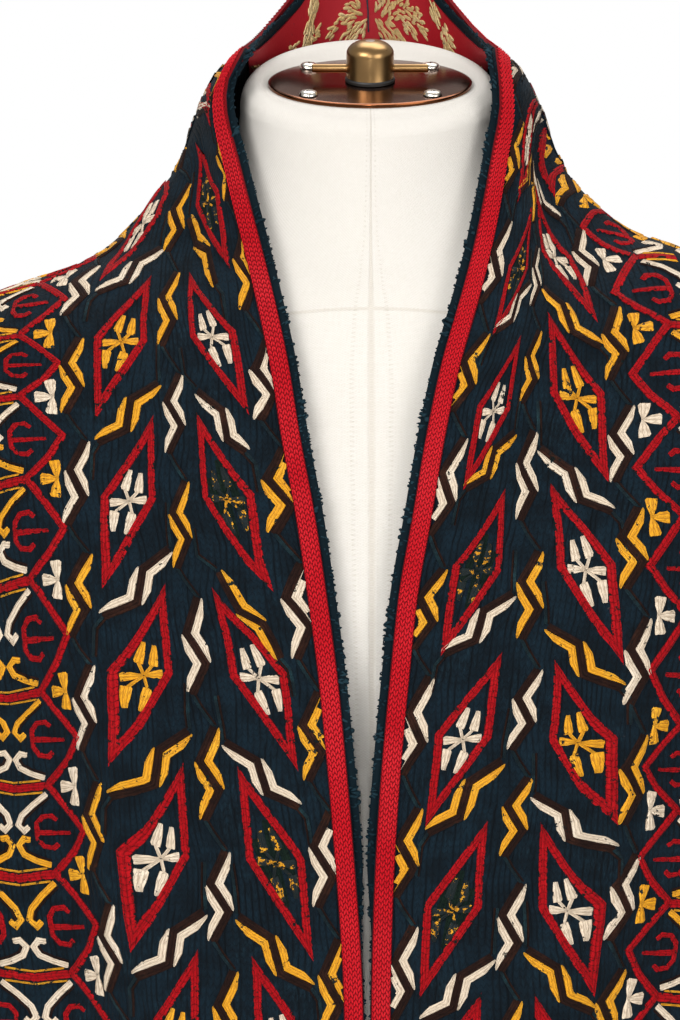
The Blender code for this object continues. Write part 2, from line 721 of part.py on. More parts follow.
def free_edge(fronts, front_normals, back, back_normal):
    """The whole free edge, with a small fan of lines where it turns at each shoulder seam."""
    middle = back.shape[1] // 2
    reach = len(COLLAR_COLUMNS) - 1
    rows = []

    def add(edge, beside, normal, beside_normal, rise=0.0, inside=1.0, tuck=0.0):
        beside = edge + (beside - edge) * BRAID_WIDTH / np.linalg.norm(beside - edge)
        rows.append((edge, beside, normal, beside_normal, rise, inside, tuck))

    def add_front(side, row):
        grid, normal = fronts[side], front_normals[side]
        below = CORD_TUCK - grid[row, 0, 2]
        inside = max(smooth_step(1.5 - row / 3), smooth_step(1 + below / 0.04))
        tuck = smooth_step(below / 0.05)
        points = (grid[row, 0], grid[row, 1], normal[row, 0], normal[row, 1])
        add(*points, inside=float(inside), tuck=float(tuck))

    def add_back(col):
        share = abs(col - middle) / reach
        behind = float(smooth_step((1 - share) * 2.5))
        points = (back[0, col], back[1, col], back_normal[0, col], back_normal[1, col])
        add(*points, rise=behind * BACK_BRAID_RISE, tuck=behind)

    def add_corner(col, outward):
        far = back[1, col + outward]
        add(back[0, col], far, back_normal[0, col], back_normal[1, col + outward])

    for row in range(len(fronts[-1]) - 1, -1, -1):
        add_front(-1, row)
    add_corner(middle - reach, -1)
    for col in range(middle - reach, middle + reach + 1):
        add_back(col)
    add_corner(middle + reach, 1)
    for row in range(len(fronts[1])):
        add_front(1, row)
    return EdgeLine(*[np.array(values) for values in zip(*rows)])


def make_braid(line, material):
    """The flat braid along the whole free edge. Behind the neck it stands above the cloth."""
    grid = np.stack([line.edge, line.beside], axis=1)
    normal = np.stack([line.normal, line.beside_normal], axis=1)
    away = unit(line.edge - line.beside)
    base = grid + normal * SEAT_GAP
    base[:, 0] += away * (line.rise[:, None] - SEAM_GAP)
    return add_object("edge_braid", *wall_mesh(base + normal * BRAID_THICK, base, grid), material)


def make_edge_cord(line, material):
    """The dark looped edging: beyond the fronts' edges, and inside the cloth behind the neck."""
    keep = [0]
    for k in range(1, len(line.edge)):
        if np.linalg.norm(line.edge[k] - line.edge[keep[-1]]) > 0.002:
            keep.append(k)
    edge, normal = line.edge[keep], line.normal[keep]
    away = unit(line.edge - line.beside)[keep]
    away[1:-1] = unit(away[:-2] + 2 * away[1:-1] + away[2:])
    normal[1:-1] = unit(normal[:-2] + 2 * normal[1:-1] + normal[2:])
    tuck, inside = line.tuck[keep][:, None], line.inside[keep][:, None]
    beyond = SEAM_GAP + CORD_WIDTH / 2
    across = beyond - tuck * (2 * beyond - SEAM_GAP)
    under = CLOTH / 2 + inside * (CLOTH / 2 + SEAT_GAP + CORD_THICK / 2)
    centre = edge + away * across - normal * under
    half_width, half_thick = away * CORD_WIDTH / 2, normal * CORD_THICK / 2
    corners = ((-1, 0.5), (-1, -0.5), (-0.4, -1), (0.4, -1), (1, -0.5), (1, 0.5), (0.4, 1), (-0.4, 1))
    rings = np.stack([centre + half_width * w + half_thick * t for w, t in corners], axis=1)
    return add_object("edge_cord", *tube_mesh(rings), material)


def tube_mesh(rings):
    """Vertices and faces of a closed tube through rings of points, with flat ends."""
    count, sides = rings.shape[:2]
    faces = [list(range(sides))[::-1]]
    for ring in range(count - 1):
        for k in range(sides):
            here, beside = ring * sides + k, ring * sides + (k + 1) % sides
            faces.append([here, beside, beside + sides, here + sides])
    last = (count - 1) * sides
    faces.append(list(range(last, last + sides)))
    return rings.reshape(-1, 3), faces


def make_neck_lining(back, normal, material):
    """The lining that shows inside the standing back of the neck."""
    middle = back.shape[1] // 2
    reach = len(COLLAR_COLUMNS) - 1
    cols = slice(middle - reach, middle + reach + 1)
    first = (back[0, cols] + back[1, cols]) / 2
    first_normal = unit(normal[0, cols] + normal[1, cols])
    guide = np.concatenate([first[None], back[1:9, cols]])
    out = np.concatenate([first_normal[None], normal[1:9, cols]])
    outer = guide - out * (CLOTH + SEAT_GAP)
    mesh = wall_mesh(outer, outer - out * LINING_THICK, guide)
    return add_object("neck_lining", *mesh, material)


def leaning(points, middle, lean):
    """Points whose back is raised above their front by a lean in degrees."""
    points[:, 2] += (points[:, 1] - middle) * math.tan(math.radians(lean))
    return points


def make_torso(material):
    """The dress form's body, from its flat underside to the rounded rim of its neck."""
    angle = np.linspace(0.0, 2 * math.pi, TORSO_SIDES, endpoint=False)
    rings = []
    for ring in TORSO:
        x, y = round_outline(ring.half_width, ring.front, ring.back, ring.square, angle)
        points = np.stack([x, y, np.full_like(x, ring.z)], axis=1)
        rings.append(leaning(points, NECK_MIDDLE_Y, ring.lean))
    return add_object("form_torso", *tube_mesh(np.array(rings)), material)


def turned_mesh(profile, sides):
    """A solid turned about Z from (radius, height) points, foot first, with flat ends."""
    angle = np.linspace(0.0, 2 * math.pi, sides, endpoint=False)
    rings = [
        np.stack([radius * np.cos(angle), radius * np.sin(angle), np.full(sides, height)], 1)
        for radius, height in profile
    ]
    return tube_mesh(np.array(rings))


def on_neck(vertices, x=0.0, y=0.0, rise=0.0):
    """Points of a cap fitting moved onto the leaning top of the neck."""
    lean = math.radians(NECK_LEAN)
    across, up = np.array([0.0, math.cos(lean), math.sin(lean)]), np.array(
        [0.0, -math.sin(lean), math.cos(lean)]
    )
    origin = np.array([0.0, NECK_MIDDLE_Y, NECK_TOP])
    vertices = np.asarray(vertices, float)
    return (
        origin
        + np.outer(vertices[:, 0] + x, [1.0, 0.0, 0.0])
        + np.outer(vertices[:, 1] + y, across)
        + np.outer(vertices[:, 2] + rise, up)
    )


def make_plate(material):
    """The oval metal plate let onto the top of the neck."""
    angle = np.linspace(0.0, 2 * math.pi, PLATE_SIDES, endpoint=False)
    rings = []
    for inset, height in ((0.0, SEAT_GAP), (0.0, PLATE_THICK - 0.0006), (0.0008, PLATE_THICK)):
        x = (PLATE_HALF_WIDTH - inset) * np.cos(angle)
        y = (PLATE_HALF_DEPTH - inset) * np.sin(angle)
        rings.append(np.stack([x, y, np.full(PLATE_SIDES, height)], axis=1))
    vertices, faces = tube_mesh(np.array(rings))
    return add_object("neck_plate", on_neck(vertices), faces, material, 35.0)


def make_knob(material):
    """The domed clamp knob on the plate, drilled through for its bar."""
    rise = PLATE_THICK + SEAT_GAP
    wall = KNOB_HEIGHT - KNOB_DOME
    profile = [(KNOB_FOOT_RADIUS, 0.0), (KNOB_FOOT_RADIUS, 0.0012), (KNOB_RADIUS, 0.0020)]
    profile += [(KNOB_RADIUS, wall)]
    for turn in (22.0, 45.0, 66.0, 80.0):
        angle = math.radians(turn)
        radius = KNOB_RADIUS * (0.12 + 0.88 * math.cos(angle))
        profile.append((radius, wall + KNOB_DOME * math.sin(angle)))
    vertices, faces = turned_mesh(profile, KNOB_SIDES)
    knob = add_object("neck_knob", on_neck(vertices, rise=rise), faces, material, 35.0)
    hole = BAR_RADIUS + BAR_HOLE_CLEARANCE
    vertices, faces = bar_mesh(hole, 2 * KNOB_RADIUS)
    drill = add_object("bar_drill", on_neck(vertices, rise=rise + BAR_HEIGHT), faces, material)
    drill.hide_render = True
    drill.display_type = "WIRE"
    cut = knob.modifiers.new("bar hole", "BOOLEAN")
    cut.operation = "DIFFERENCE"
    cut.object = drill
    return knob


def bar_mesh(radius, half_length):
    """A round bar along X."""
    vertices, faces = turned_mesh([(radius, -half_length), (radius, half_length)], BAR_SIDES)
    return vertices[:, [2, 1, 0]] * np.array([1.0, -1.0, 1.0]), faces


def make_bar(material):
    """The knob's cross bar."""
    vertices, faces = bar_mesh(BAR_RADIUS, BAR_HALF_LENGTH)
    rise = PLATE_THICK + SEAT_GAP + BAR_HEIGHT
    return add_object("neck_bar", on_neck(vertices, rise=rise), faces, material, 35.0)


def make_screws(material):
    """Four domed screw heads on the plate."""
    rise = PLATE_THICK + SEAT_GAP
    profile = [(SCREW_RADIUS, 0.0), (SCREW_RADIUS * 0.96, 0.0006)]
    profile += [(SCREW_RADIUS * 0.72, SCREW_HEIGHT * 0.75), (SCREW_RADIUS * 0.30, SCREW_HEIGHT)]
    number = 0
    for y in (-SCREW_Y, SCREW_Y):
        for x in (-SCREW_X, SCREW_X):
            number += 1
            vertices, faces = turned_mesh(profile, 16)
            placed = on_neck(vertices, x, y, rise)
            add_object(f"plate_screw_{number}", placed, faces, material, 35.0)


def make_stand(material):
    """The stand: a weighted round foot, a pole and the flange that carries the form."""
    foot = [(FOOT_RADIUS, 0.0), (FOOT_RADIUS, FOOT_EDGE), (FOOT_RADIUS - 0.012, FOOT_EDGE + 0.006)]
    for share in (0.35, 0.65, 0.85):
        radius = FOOT_RADIUS - 0.012 + (FOOT_BOSS_RADIUS - FOOT_RADIUS + 0.012) * share
        foot.append((radius, FOOT_EDGE + 0.006 + 0.014 * share**2))
    foot += [(FOOT_BOSS_RADIUS, FOOT_HEIGHT - 0.022), (0.021, FOOT_HEIGHT - 0.004)]
    foot += [(0.019, FOOT_HEIGHT)]
    add_object("stand_foot", *turned_mesh(foot, TURNED_SIDES), material, 35.0)
    under = TORSO[0].z - SEAT_GAP
    flange = [
        (FLANGE_BOSS_RADIUS, under - FLANGE_BOSS_DROP),
        (FLANGE_BOSS_RADIUS, under - FLANGE_THICK - 0.004),
        (FLANGE_BOSS_RADIUS + 0.004, under - FLANGE_THICK),
        (FLANGE_RADIUS, under - FLANGE_THICK),
        (FLANGE_RADIUS, under),
    ]
    add_object("stand_flange", *turned_mesh(flange, TURNED_SIDES), material, 35.0)
    pole = [
        (POLE_RADIUS, FOOT_HEIGHT + SEAT_GAP),
        (POLE_RADIUS, under - FLANGE_BOSS_DROP - SEAT_GAP),
    ]
    add_object("stand_pole", *turned_mesh(pole, POLE_SIDES), material, 35.0)


def clear_scene():
    """Removes what the startup file holds."""
    for obj in list(bpy.data.objects):
        bpy.data.objects.remove(obj)


def main():
    """Builds the coat, its edging and lining, and the form and stand that carry it."""
    clear_scene()
    navy = finish("navy_silk", (0.012, 0.030, 0.048), 0.75)
    red = finish("red_braid", (0.50, 0.012, 0.022), 0.70)
    crimson = finish("crimson_lining", (0.36, 0.008, 0.020), 0.55)
    dark = finish("dark_edging", (0.010, 0.024, 0.036), 0.85)
    linen = finish("linen", (0.86, 0.84, 0.80), 0.90)
    brass = finish("antique_brass", (0.42, 0.28, 0.14), 0.28, 1.0)
    steel = finish("screw_steel", (0.66, 0.64, 0.60), 0.30, 1.0)

    fronts = {side: front_grid(side) for side in (-1, 1)}
    back = back_grid()
    back_halves = {-1: back[:, ::-1], 1: back}
    gores = {side: gore_grid(side, fronts[side][:, -1], back_halves[side][:, -1]) for side in fronts}
    front_normals = {side: outward_normals(grid) for side, grid in fronts.items()}
    gore_normals = {side: outward_normals(grid) for side, grid in gores.items()}
    back_normal = outward_normals(back)
    names = {-1: "right", 1: "left"}
    for side, name in names.items():
        back_half = back_normal if side > 0 else back_normal[:, ::-1]
        ridge = -len(RIDGE_COLUMNS) - 2
        front_normals[side][0] = ridge_normals(fronts[side][0], side)
        back_half[0, ridge:] = ridge_normals(back_halves[side][0, ridge:], side)
        share_normals(front_normals[side][UNDERARM_ROW:, -1], gore_normals[side][:, 0])
        share_normals(back_half[UNDERARM_ROW:, -1], gore_normals[side][:, -1])
        cloth_panel(f"front_{name}", fronts[side], front_normals[side], ("top", "last"), navy)
        gore_gaps = ("top", "first", "last")
        cloth_panel(f"gore_{name}", gores[side], gore_normals[side], gore_gaps, navy)
        make_sleeve(f"sleeve_{name}", side, fronts[side], back_halves[side], gores[side], navy)
    cloth_panel("back", back, back_normal, ("first", "last"), navy)

    line = free_edge(fronts, front_normals, back, back_normal)
    make_braid(line, red)
    make_edge_cord(line, dark)
    make_neck_lining(back, back_normal, crimson)

    make_torso(linen)
    make_plate(brass)
    make_knob(brass)
    make_bar(brass)
    make_screws(steel)
    make_stand(brass)


main()
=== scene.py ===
"""Looks of a long embroidered chapan, worn open on a tailor's dress form.

Metres, +Z up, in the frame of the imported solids. The front faces -Y and +X is the wearer's left.
Every cloth is set out from the same tables as its solid, finer, and carries a chart: a map in
metres from its free edge or its middle, and down from the neck. The embroidery, the braid and the
edging are laid out flat on such a chart and then sewn down onto the cloth by Geometry Nodes.
"""

from __future__ import annotations

import json
import logging
import math
import sys
from dataclasses import dataclass, field, replace
from enum import Enum, IntEnum
from typing import NamedTuple

import bmesh
import bpy
import numpy as np
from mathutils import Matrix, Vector

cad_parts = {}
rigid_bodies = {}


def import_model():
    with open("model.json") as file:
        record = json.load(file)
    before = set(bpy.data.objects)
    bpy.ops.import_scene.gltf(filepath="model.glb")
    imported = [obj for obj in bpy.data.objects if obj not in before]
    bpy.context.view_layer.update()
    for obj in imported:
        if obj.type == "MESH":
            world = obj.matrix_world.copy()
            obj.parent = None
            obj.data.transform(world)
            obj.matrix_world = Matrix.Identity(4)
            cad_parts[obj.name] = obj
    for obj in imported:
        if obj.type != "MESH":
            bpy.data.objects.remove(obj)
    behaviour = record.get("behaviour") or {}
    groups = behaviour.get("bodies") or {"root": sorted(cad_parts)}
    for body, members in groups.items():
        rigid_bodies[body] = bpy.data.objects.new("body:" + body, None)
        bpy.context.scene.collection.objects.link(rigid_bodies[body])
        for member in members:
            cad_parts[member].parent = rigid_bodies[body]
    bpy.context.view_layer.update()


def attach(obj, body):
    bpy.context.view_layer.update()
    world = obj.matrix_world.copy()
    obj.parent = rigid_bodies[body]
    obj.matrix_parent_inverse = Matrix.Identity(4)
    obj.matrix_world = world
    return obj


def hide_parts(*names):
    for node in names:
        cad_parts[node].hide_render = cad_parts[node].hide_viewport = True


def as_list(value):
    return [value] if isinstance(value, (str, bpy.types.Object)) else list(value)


LOG = logging.getLogger("chapan")

CLOTH = 0.0019
SEAM_GAP = 0.0003
SEAT_GAP = 0.0004
BRAID_WIDTH = 0.0092
BRAID_THICK = 0.0014
CORD_WIDTH = 0.0034
CORD_THICK = 0.0016
BACK_BRAID_RISE = 0.0038
CORD_TUCK = 1.120
LINING_THICK = 0.0010
CONTOUR_STEPS = 161
PAST_MIDDLE = 0.30
TRACE_STEPS = 110

COLLAR_TOP = 1.566
NECK_SEAM = 1.4998
SHOULDER_END = 1.352
UNDERARM = 1.165
HEM = 0.280
ARMHOLE_REACH = 0.044
GORE_TOP_HALF = 0.006
PANEL_HEM_WIDTH = 0.262
SHOULDER_LIFT = 0.0103
LIFT_FROM = 0.106
LIFT_RUN = 0.032
LIFT_FOOT = 1.23
LIFT_RISE = 0.12
FOLD_FADE_IN = 0.06
FOLD_FADE_OUT = 0.08
UNDERARM_EASE = 0.03
TRACE_POWER = 1.8
ARMHOLE_ROW_REACH = 0.336


class Side(IntEnum):
    """The wearer's sides, as the sign of X."""

    RIGHT = -1
    LEFT = 1

    @property
    def word(self) -> str:
        """The side as the pieces' names say it."""
        return self.name.lower()


RIGHT, LEFT, BOTH = Side.RIGHT, Side.LEFT, None


class CoatLevel(NamedTuple):
    """Plan outline of the coat at one height: half width, depth in front and behind, squareness."""

    z: float
    half_width: float
    front: float
    back: float
    square: float


COAT = (
    CoatLevel(1.5900, 0.0540, 0.040, 0.068, 2.00),
    CoatLevel(1.5400, 0.0575, 0.042, 0.075, 2.00),
    CoatLevel(1.4998, 0.0605, 0.045, 0.081, 2.00),
    CoatLevel(1.4948, 0.0680, 0.046, 0.083, 2.00),
    CoatLevel(1.4889, 0.0738, 0.047, 0.084, 2.00),
    CoatLevel(1.4840, 0.0770, 0.048, 0.085, 2.00),
    CoatLevel(1.4740, 0.0830, 0.050, 0.087, 2.00),
    CoatLevel(1.4459, 0.0920, 0.053, 0.090, 2.05),
    CoatLevel(1.4327, 0.1010, 0.057, 0.093, 2.10),
    CoatLevel(1.4195, 0.1115, 0.061, 0.096, 2.15),
    CoatLevel(1.4065, 0.1215, 0.064, 0.099, 2.20),
    CoatLevel(1.3975, 0.1315, 0.067, 0.101, 2.25),
    CoatLevel(1.3905, 0.1515, 0.070, 0.104, 2.30),
    CoatLevel(1.3800, 0.1805, 0.076, 0.108, 2.35),
    CoatLevel(1.3660, 0.2150, 0.083, 0.112, 2.40),
    CoatLevel(1.3520, 0.2360, 0.090, 0.116, 2.40),
    CoatLevel(1.3200, 0.2400, 0.102, 0.122, 2.40),
    CoatLevel(1.2700, 0.2330, 0.118, 0.127, 2.40),
    CoatLevel(1.2150, 0.2230, 0.129, 0.126, 2.40),
    CoatLevel(1.1650, 0.2150, 0.132, 0.121, 2.40),
    CoatLevel(1.1000, 0.2140, 0.129, 0.114, 2.35),
    CoatLevel(1.0200, 0.2210, 0.128, 0.113, 2.30),
    CoatLevel(0.9000, 0.2390, 0.137, 0.126, 2.25),
    CoatLevel(0.7000, 0.2720, 0.158, 0.150, 2.20),
    CoatLevel(0.5000, 0.3050, 0.181, 0.175, 2.15),
    CoatLevel(0.2700, 0.3400, 0.206, 0.204, 2.10),
)


class EdgePoint(NamedTuple):
    """Distances of the two fronts' free edges from the middle, at one height."""

    z: float
    right: float
    left: float


FRONT_EDGE = (
    EdgePoint(1.4998, 0.0605, 0.0605),
    EdgePoint(1.4910, 0.0635, 0.0600),
    EdgePoint(1.4840, 0.0675, 0.0612),
    EdgePoint(1.4740, 0.0698, 0.0618),
    EdgePoint(1.4645, 0.0685, 0.0615),
    EdgePoint(1.4450, 0.0635, 0.0575),
    EdgePoint(1.427, 0.0589, 0.0542),
    EdgePoint(1.387, 0.0485, 0.0453),
    EdgePoint(1.348, 0.0394, 0.0336),
    EdgePoint(1.311, 0.0333, 0.0253),
    EdgePoint(1.273, 0.0261, 0.0186),
    EdgePoint(1.237, 0.0207, 0.0120),
    EdgePoint(1.200, 0.0157, 0.0080),
    EdgePoint(1.163, 0.0120, 0.0045),
    EdgePoint(1.123, 0.0085, 0.0016),
    EdgePoint(1.096, 0.0067, 0.0006),
    EdgePoint(1.041, 0.0036, -0.0008),
    EdgePoint(0.900, 0.0034, -0.0008),
    EdgePoint(0.270, 0.0100, 0.0040),
)


class CollarPoint(NamedTuple):
    """A point of the neck edge behind the neck, seen from the front."""

    x: float
    z: float


COLLAR = (
    CollarPoint(0.0000, COLLAR_TOP),
    CollarPoint(0.0120, 1.5625),
    CollarPoint(0.0230, 1.5520),
    CollarPoint(0.0320, 1.5390),
    CollarPoint(0.0388, 1.5289),
    CollarPoint(0.0469, 1.5188),
    CollarPoint(0.0550, 1.5086),
    CollarPoint(0.0605, NECK_SEAM),
)


class Fold(NamedTuple):
    """A soft ridge (positive depth) or valley that runs down the coat on one side, or on both.

    Its place and half width are shares of the way round from the front edge to the middle of the
    back, at its top and at its foot.
    """

    side: Side | None
    top: float
    foot: float
    place_top: float
    place_foot: float
    half_top: float
    half_foot: float
    depth_top: float
    depth_foot: float


FOLDS = (
    Fold(RIGHT, 1.480, 1.300, 0.165, 0.075, 0.110, 0.055, -0.009, -0.004),
    Fold(LEFT, 1.485, 1.215, 0.205, 0.085, 0.120, 0.050, -0.013, -0.007),
    Fold(LEFT, 1.440, 1.230, 0.330, 0.185, 0.090, 0.055, 0.004, 0.003),
    Fold(RIGHT, 1.330, HEM, 0.300, 0.150, 0.080, 0.090, -0.004, -0.0297),
    Fold(LEFT, 1.300, HEM, 0.290, 0.130, 0.080, 0.080, -0.004, -0.0257),
    Fold(RIGHT, 1.250, HEM, 0.180, 0.060, 0.070, 0.060, 0.003, 0.0135),
    Fold(LEFT, 1.260, HEM, 0.170, 0.050, 0.070, 0.060, 0.003, 0.0121),
    Fold(RIGHT, 1.150, HEM, 0.400, 0.270, 0.080, 0.075, 0.003, 0.0216),
    Fold(LEFT, 1.150, HEM, 0.395, 0.240, 0.080, 0.075, 0.003, 0.0243),
    Fold(RIGHT, 1.140, HEM, 0.470, 0.370, 0.070, 0.070, -0.003, -0.0284),
    Fold(LEFT, 1.120, HEM, 0.480, 0.350, 0.070, 0.070, -0.003, -0.0324),
    Fold(RIGHT, 1.130, HEM, 0.550, 0.470, 0.070, 0.070, 0.002, 0.0230),
    Fold(LEFT, 1.130, HEM, 0.560, 0.460, 0.070, 0.075, 0.002, 0.0257),
    Fold(RIGHT, 1.150, HEM, 0.620, 0.575, 0.070, 0.075, -0.003, -0.0270),
    Fold(LEFT, 1.160, HEM, 0.640, 0.590, 0.070, 0.075, -0.003, -0.0297),
    Fold(RIGHT, 1.240, HEM, 0.720, 0.700, 0.070, 0.080, 0.003, 0.0203),
    Fold(LEFT, 1.250, HEM, 0.740, 0.725, 0.070, 0.080, 0.003, 0.0189),
    Fold(RIGHT, 1.320, HEM, 0.830, 0.820, 0.075, 0.080, -0.004, -0.0270),
    Fold(LEFT, 1.330, HEM, 0.850, 0.855, 0.075, 0.080, -0.004, -0.0243),
    Fold(BOTH, 1.180, HEM, 0.960, 0.960, 0.060, 0.080, 0.002, 0.0135),
)

FRONT_COLUMNS = (0.09, 0.145, 0.205, 0.275, 0.36, 0.455, 0.56, 0.67, 0.77, 0.86, 0.94, 1.0)
COLLAR_COLUMNS = (0.0, 0.13, 0.27, 0.42, 0.57, 0.72, 0.87, 1.0)
RIDGE_COLUMNS = (0.15, 0.28, 0.42, 0.56, 0.70, 0.83, 0.93, 1.0)
UPPER_ROWS = (0.058, 0.095, 0.14, 0.195, 0.26, 0.335, 0.42, 0.51, 0.61, 0.71, 0.81, 0.905, 1.0)
LOWER_ROWS = (0.055, 0.12, 0.19, 0.265, 0.345, 0.43, 0.52, 0.61, 0.705, 0.80, 0.90, 1.0)
UNDERARM_ROW = len(UPPER_ROWS) + 1
GORE_COLUMNS = (0.0, 0.25, 0.5, 0.75, 1.0)


class SleeveRing(NamedTuple):
    """A ring of an empty sleeve: its outer and inner ends from the front, and its half depth."""

    outer_x: float
    outer_z: float
    inner_x: float
    inner_z: float
    half_depth: float
    square: float


SLEEVE = (
    SleeveRing(0.2500, 1.344, 0.2180, 1.158, 0.049, 2.0),
    SleeveRing(0.2640, 1.327, 0.2225, 1.147, 0.056, 2.0),
    SleeveRing(0.2760, 1.302, 0.2270, 1.134, 0.063, 2.1),
    SleeveRing(0.2850, 1.268, 0.2315, 1.117, 0.070, 2.1),
    SleeveRing(0.2910, 1.226, 0.2360, 1.096, 0.076, 2.2),
    SleeveRing(0.2950, 1.176, 0.2405, 1.070, 0.081, 2.2),
    SleeveRing(0.2980, 1.120, 0.2450, 1.036, 0.084, 2.3),
    SleeveRing(0.3010, 1.058, 0.2500, 0.994, 0.086, 2.3),
    SleeveRing(0.3045, 0.990, 0.2560, 0.945, 0.086, 2.4),
    SleeveRing(0.3090, 0.918, 0.2640, 0.888, 0.084, 2.4),
    SleeveRing(0.3160, 0.842, 0.2765, 0.826, 0.081, 2.4),
    SleeveRing(0.3250, 0.765, 0.2890, 0.757, 0.078, 2.4),
    SleeveRing(0.3340, 0.690, 0.3010, 0.686, 0.075, 2.4),
    SleeveRing(0.3410, 0.625, 0.3105, 0.622, 0.073, 2.4),
)
ARMHOLE_ROWS = (2, 4, 6, 8, 10, 12, 14)
SLEEVE_CREASES = 3
SLEEVE_CREASE_DEPTH = 0.0035
CREASE_SLANT = 5
CREASE_FADE = 1.6


class TorsoRing(NamedTuple):
    """A ring of the dress form's body. lean raises its back above its front, in degrees."""

    z: float
    half_width: float
    front: float
    back: float
    square: float
    lean: float


TORSO = (
    TorsoRing(0.760, 0.150, 0.098, 0.104, 2.20, 0.0),
    TorsoRing(0.800, 0.164, 0.106, 0.112, 2.20, 0.0),
    TorsoRing(0.870, 0.170, 0.108, 0.114, 2.20, 0.0),
    TorsoRing(0.950, 0.152, 0.098, 0.096, 2.15, 0.0),
    TorsoRing(1.025, 0.126, 0.088, 0.082, 2.10, 0.0),
    TorsoRing(1.100, 0.136, 0.098, 0.088, 2.10, 0.0),
    TorsoRing(1.160, 0.152, 0.111, 0.097, 2.20, 0.0),
    TorsoRing(1.215, 0.164, 0.117, 0.108, 2.30, 0.0),
    TorsoRing(1.270, 0.172, 0.106, 0.113, 2.35, 0.0),
    TorsoRing(1.315, 0.184, 0.091, 0.110, 2.35, 0.0),
    TorsoRing(1.345, 0.191, 0.080, 0.104, 2.30, 0.0),
    TorsoRing(1.363, 0.188, 0.072, 0.098, 2.20, 0.0),
    TorsoRing(1.3777, 0.168, 0.065, 0.092, 2.15, 2.0),
    TorsoRing(1.3877, 0.147, 0.060, 0.087, 2.10, 4.0),
    TorsoRing(1.3984, 0.124, 0.055, 0.081, 2.05, 6.0),
    TorsoRing(1.411, 0.101, 0.052, 0.074, 2.00, 9.0),
    TorsoRing(1.427, 0.080, 0.051, 0.066, 2.00, 12.0),
    TorsoRing(1.447, 0.067, 0.051, 0.059, 2.00, 16.0),
    TorsoRing(1.468, 0.0635, 0.052, 0.056, 2.00, 20.0),
    TorsoRing(1.4755, 0.0632, 0.0520, 0.0570, 2.00, 23.5),
    TorsoRing(1.4810, 0.0612, 0.0500, 0.0560, 2.00, 26.0),
    TorsoRing(1.4838, 0.0575, 0.0462, 0.0525, 2.00, 27.0),
    TorsoRing(1.4836, 0.0540, 0.0420, 0.0475, 2.00, 26.5),
    TorsoRing(1.4818, 0.0518, 0.0386, 0.0420, 2.00, 23.5),
    TorsoRing(1.4815, 0.0508, 0.0372, 0.0398, 2.00, 22.0),
)

NECK_LEAN = 22.0
NECK_TOP = 1.4815
NECK_MIDDLE_Y = 0.0015
PLATE_HALF_WIDTH = 0.0500
PLATE_HALF_DEPTH = 0.0405
PLATE_THICK = 0.0022
KNOB_RADIUS = 0.0116
KNOB_FOOT_RADIUS = 0.0122
KNOB_HEIGHT = 0.0200
KNOB_DOME = 0.0065
BAR_RADIUS = 0.0021
BAR_HALF_LENGTH = 0.0285
BAR_HEIGHT = 0.0060
SCREW_RADIUS = 0.0046
SCREW_HEIGHT = 0.0021
SCREW_X = 0.0300
SCREW_Y = 0.0245
POLE_RADIUS = 0.0125
FOOT_RADIUS = 0.185
FOOT_EDGE = 0.010
FOOT_BOSS_RADIUS = 0.034
FOOT_HEIGHT = 0.052
FLANGE_RADIUS = 0.060
FLANGE_THICK = 0.008
FLANGE_BOSS_RADIUS = 0.021
FLANGE_BOSS_DROP = 0.032


def smooth_step(x: float | np.ndarray) -> float | np.ndarray:
    """0 below 0, 1 above 1, and smooth between."""
    t = np.clip(x, 0.0, 1.0)
    return t * t * (3 - 2 * t)


def column(table: tuple, name: str) -> np.ndarray:
    """One named column of a table."""
    return np.array([getattr(row, name) for row in table], float)


def unit(vectors: np.ndarray) -> np.ndarray:
    """Vectors of length one along the last axis."""
    return vectors / np.maximum(np.linalg.norm(vectors, axis=-1, keepdims=True), 1e-12)


def walked_along(points: np.ndarray) -> np.ndarray:
    """Length walked from a line's first point to each of its points."""
    run = np.linalg.norm(np.diff(points, axis=0), axis=-1)
    return np.concatenate([np.zeros_like(run[:1]), np.cumsum(run, axis=0)])


def curve_through(knots: np.ndarray, values: np.ndarray, at: np.ndarray) -> np.ndarray:
    """Smooth curve through a table's points that never swings past them.

    Args:
        knots: where the values stand, rising or falling.
        values: one number for each knot.
        at: where the curve is read.

    Returns:
        The curve's value at each place.
    """
    knots, values = np.asarray(knots, float), np.asarray(values, float)
    if knots[0] > knots[-1]:
        knots, values = knots[::-1], values[::-1]
    step = np.diff(knots)
    slope = np.diff(values) / step
    tangent = np.zeros(len(knots))
    tangent[0], tangent[-1] = slope[0], slope[-1]
    for i in range(1, len(knots) - 1):
        if slope[i - 1] * slope[i] > 0:
            before = 2 * step[i] + step[i - 1]
            after = step[i] + 2 * step[i - 1]
            tangent[i] = (before + after) / (before / slope[i - 1] + after / slope[i])
    at = np.clip(np.asarray(at, float), knots[0], knots[-1])
    k = np.clip(np.searchsorted(knots, at) - 1, 0, len(step) - 1)
    t = (at - knots[k]) / step[k]
    rise = t * t * (3 - 2 * t)
    start, end = t * (1 - t) ** 2, t * t * (t - 1)
    return (
        values[k] * (1 - rise)
        + values[k + 1] * rise
        + step[k] * (tangent[k] * start + tangent[k + 1] * end)
    )


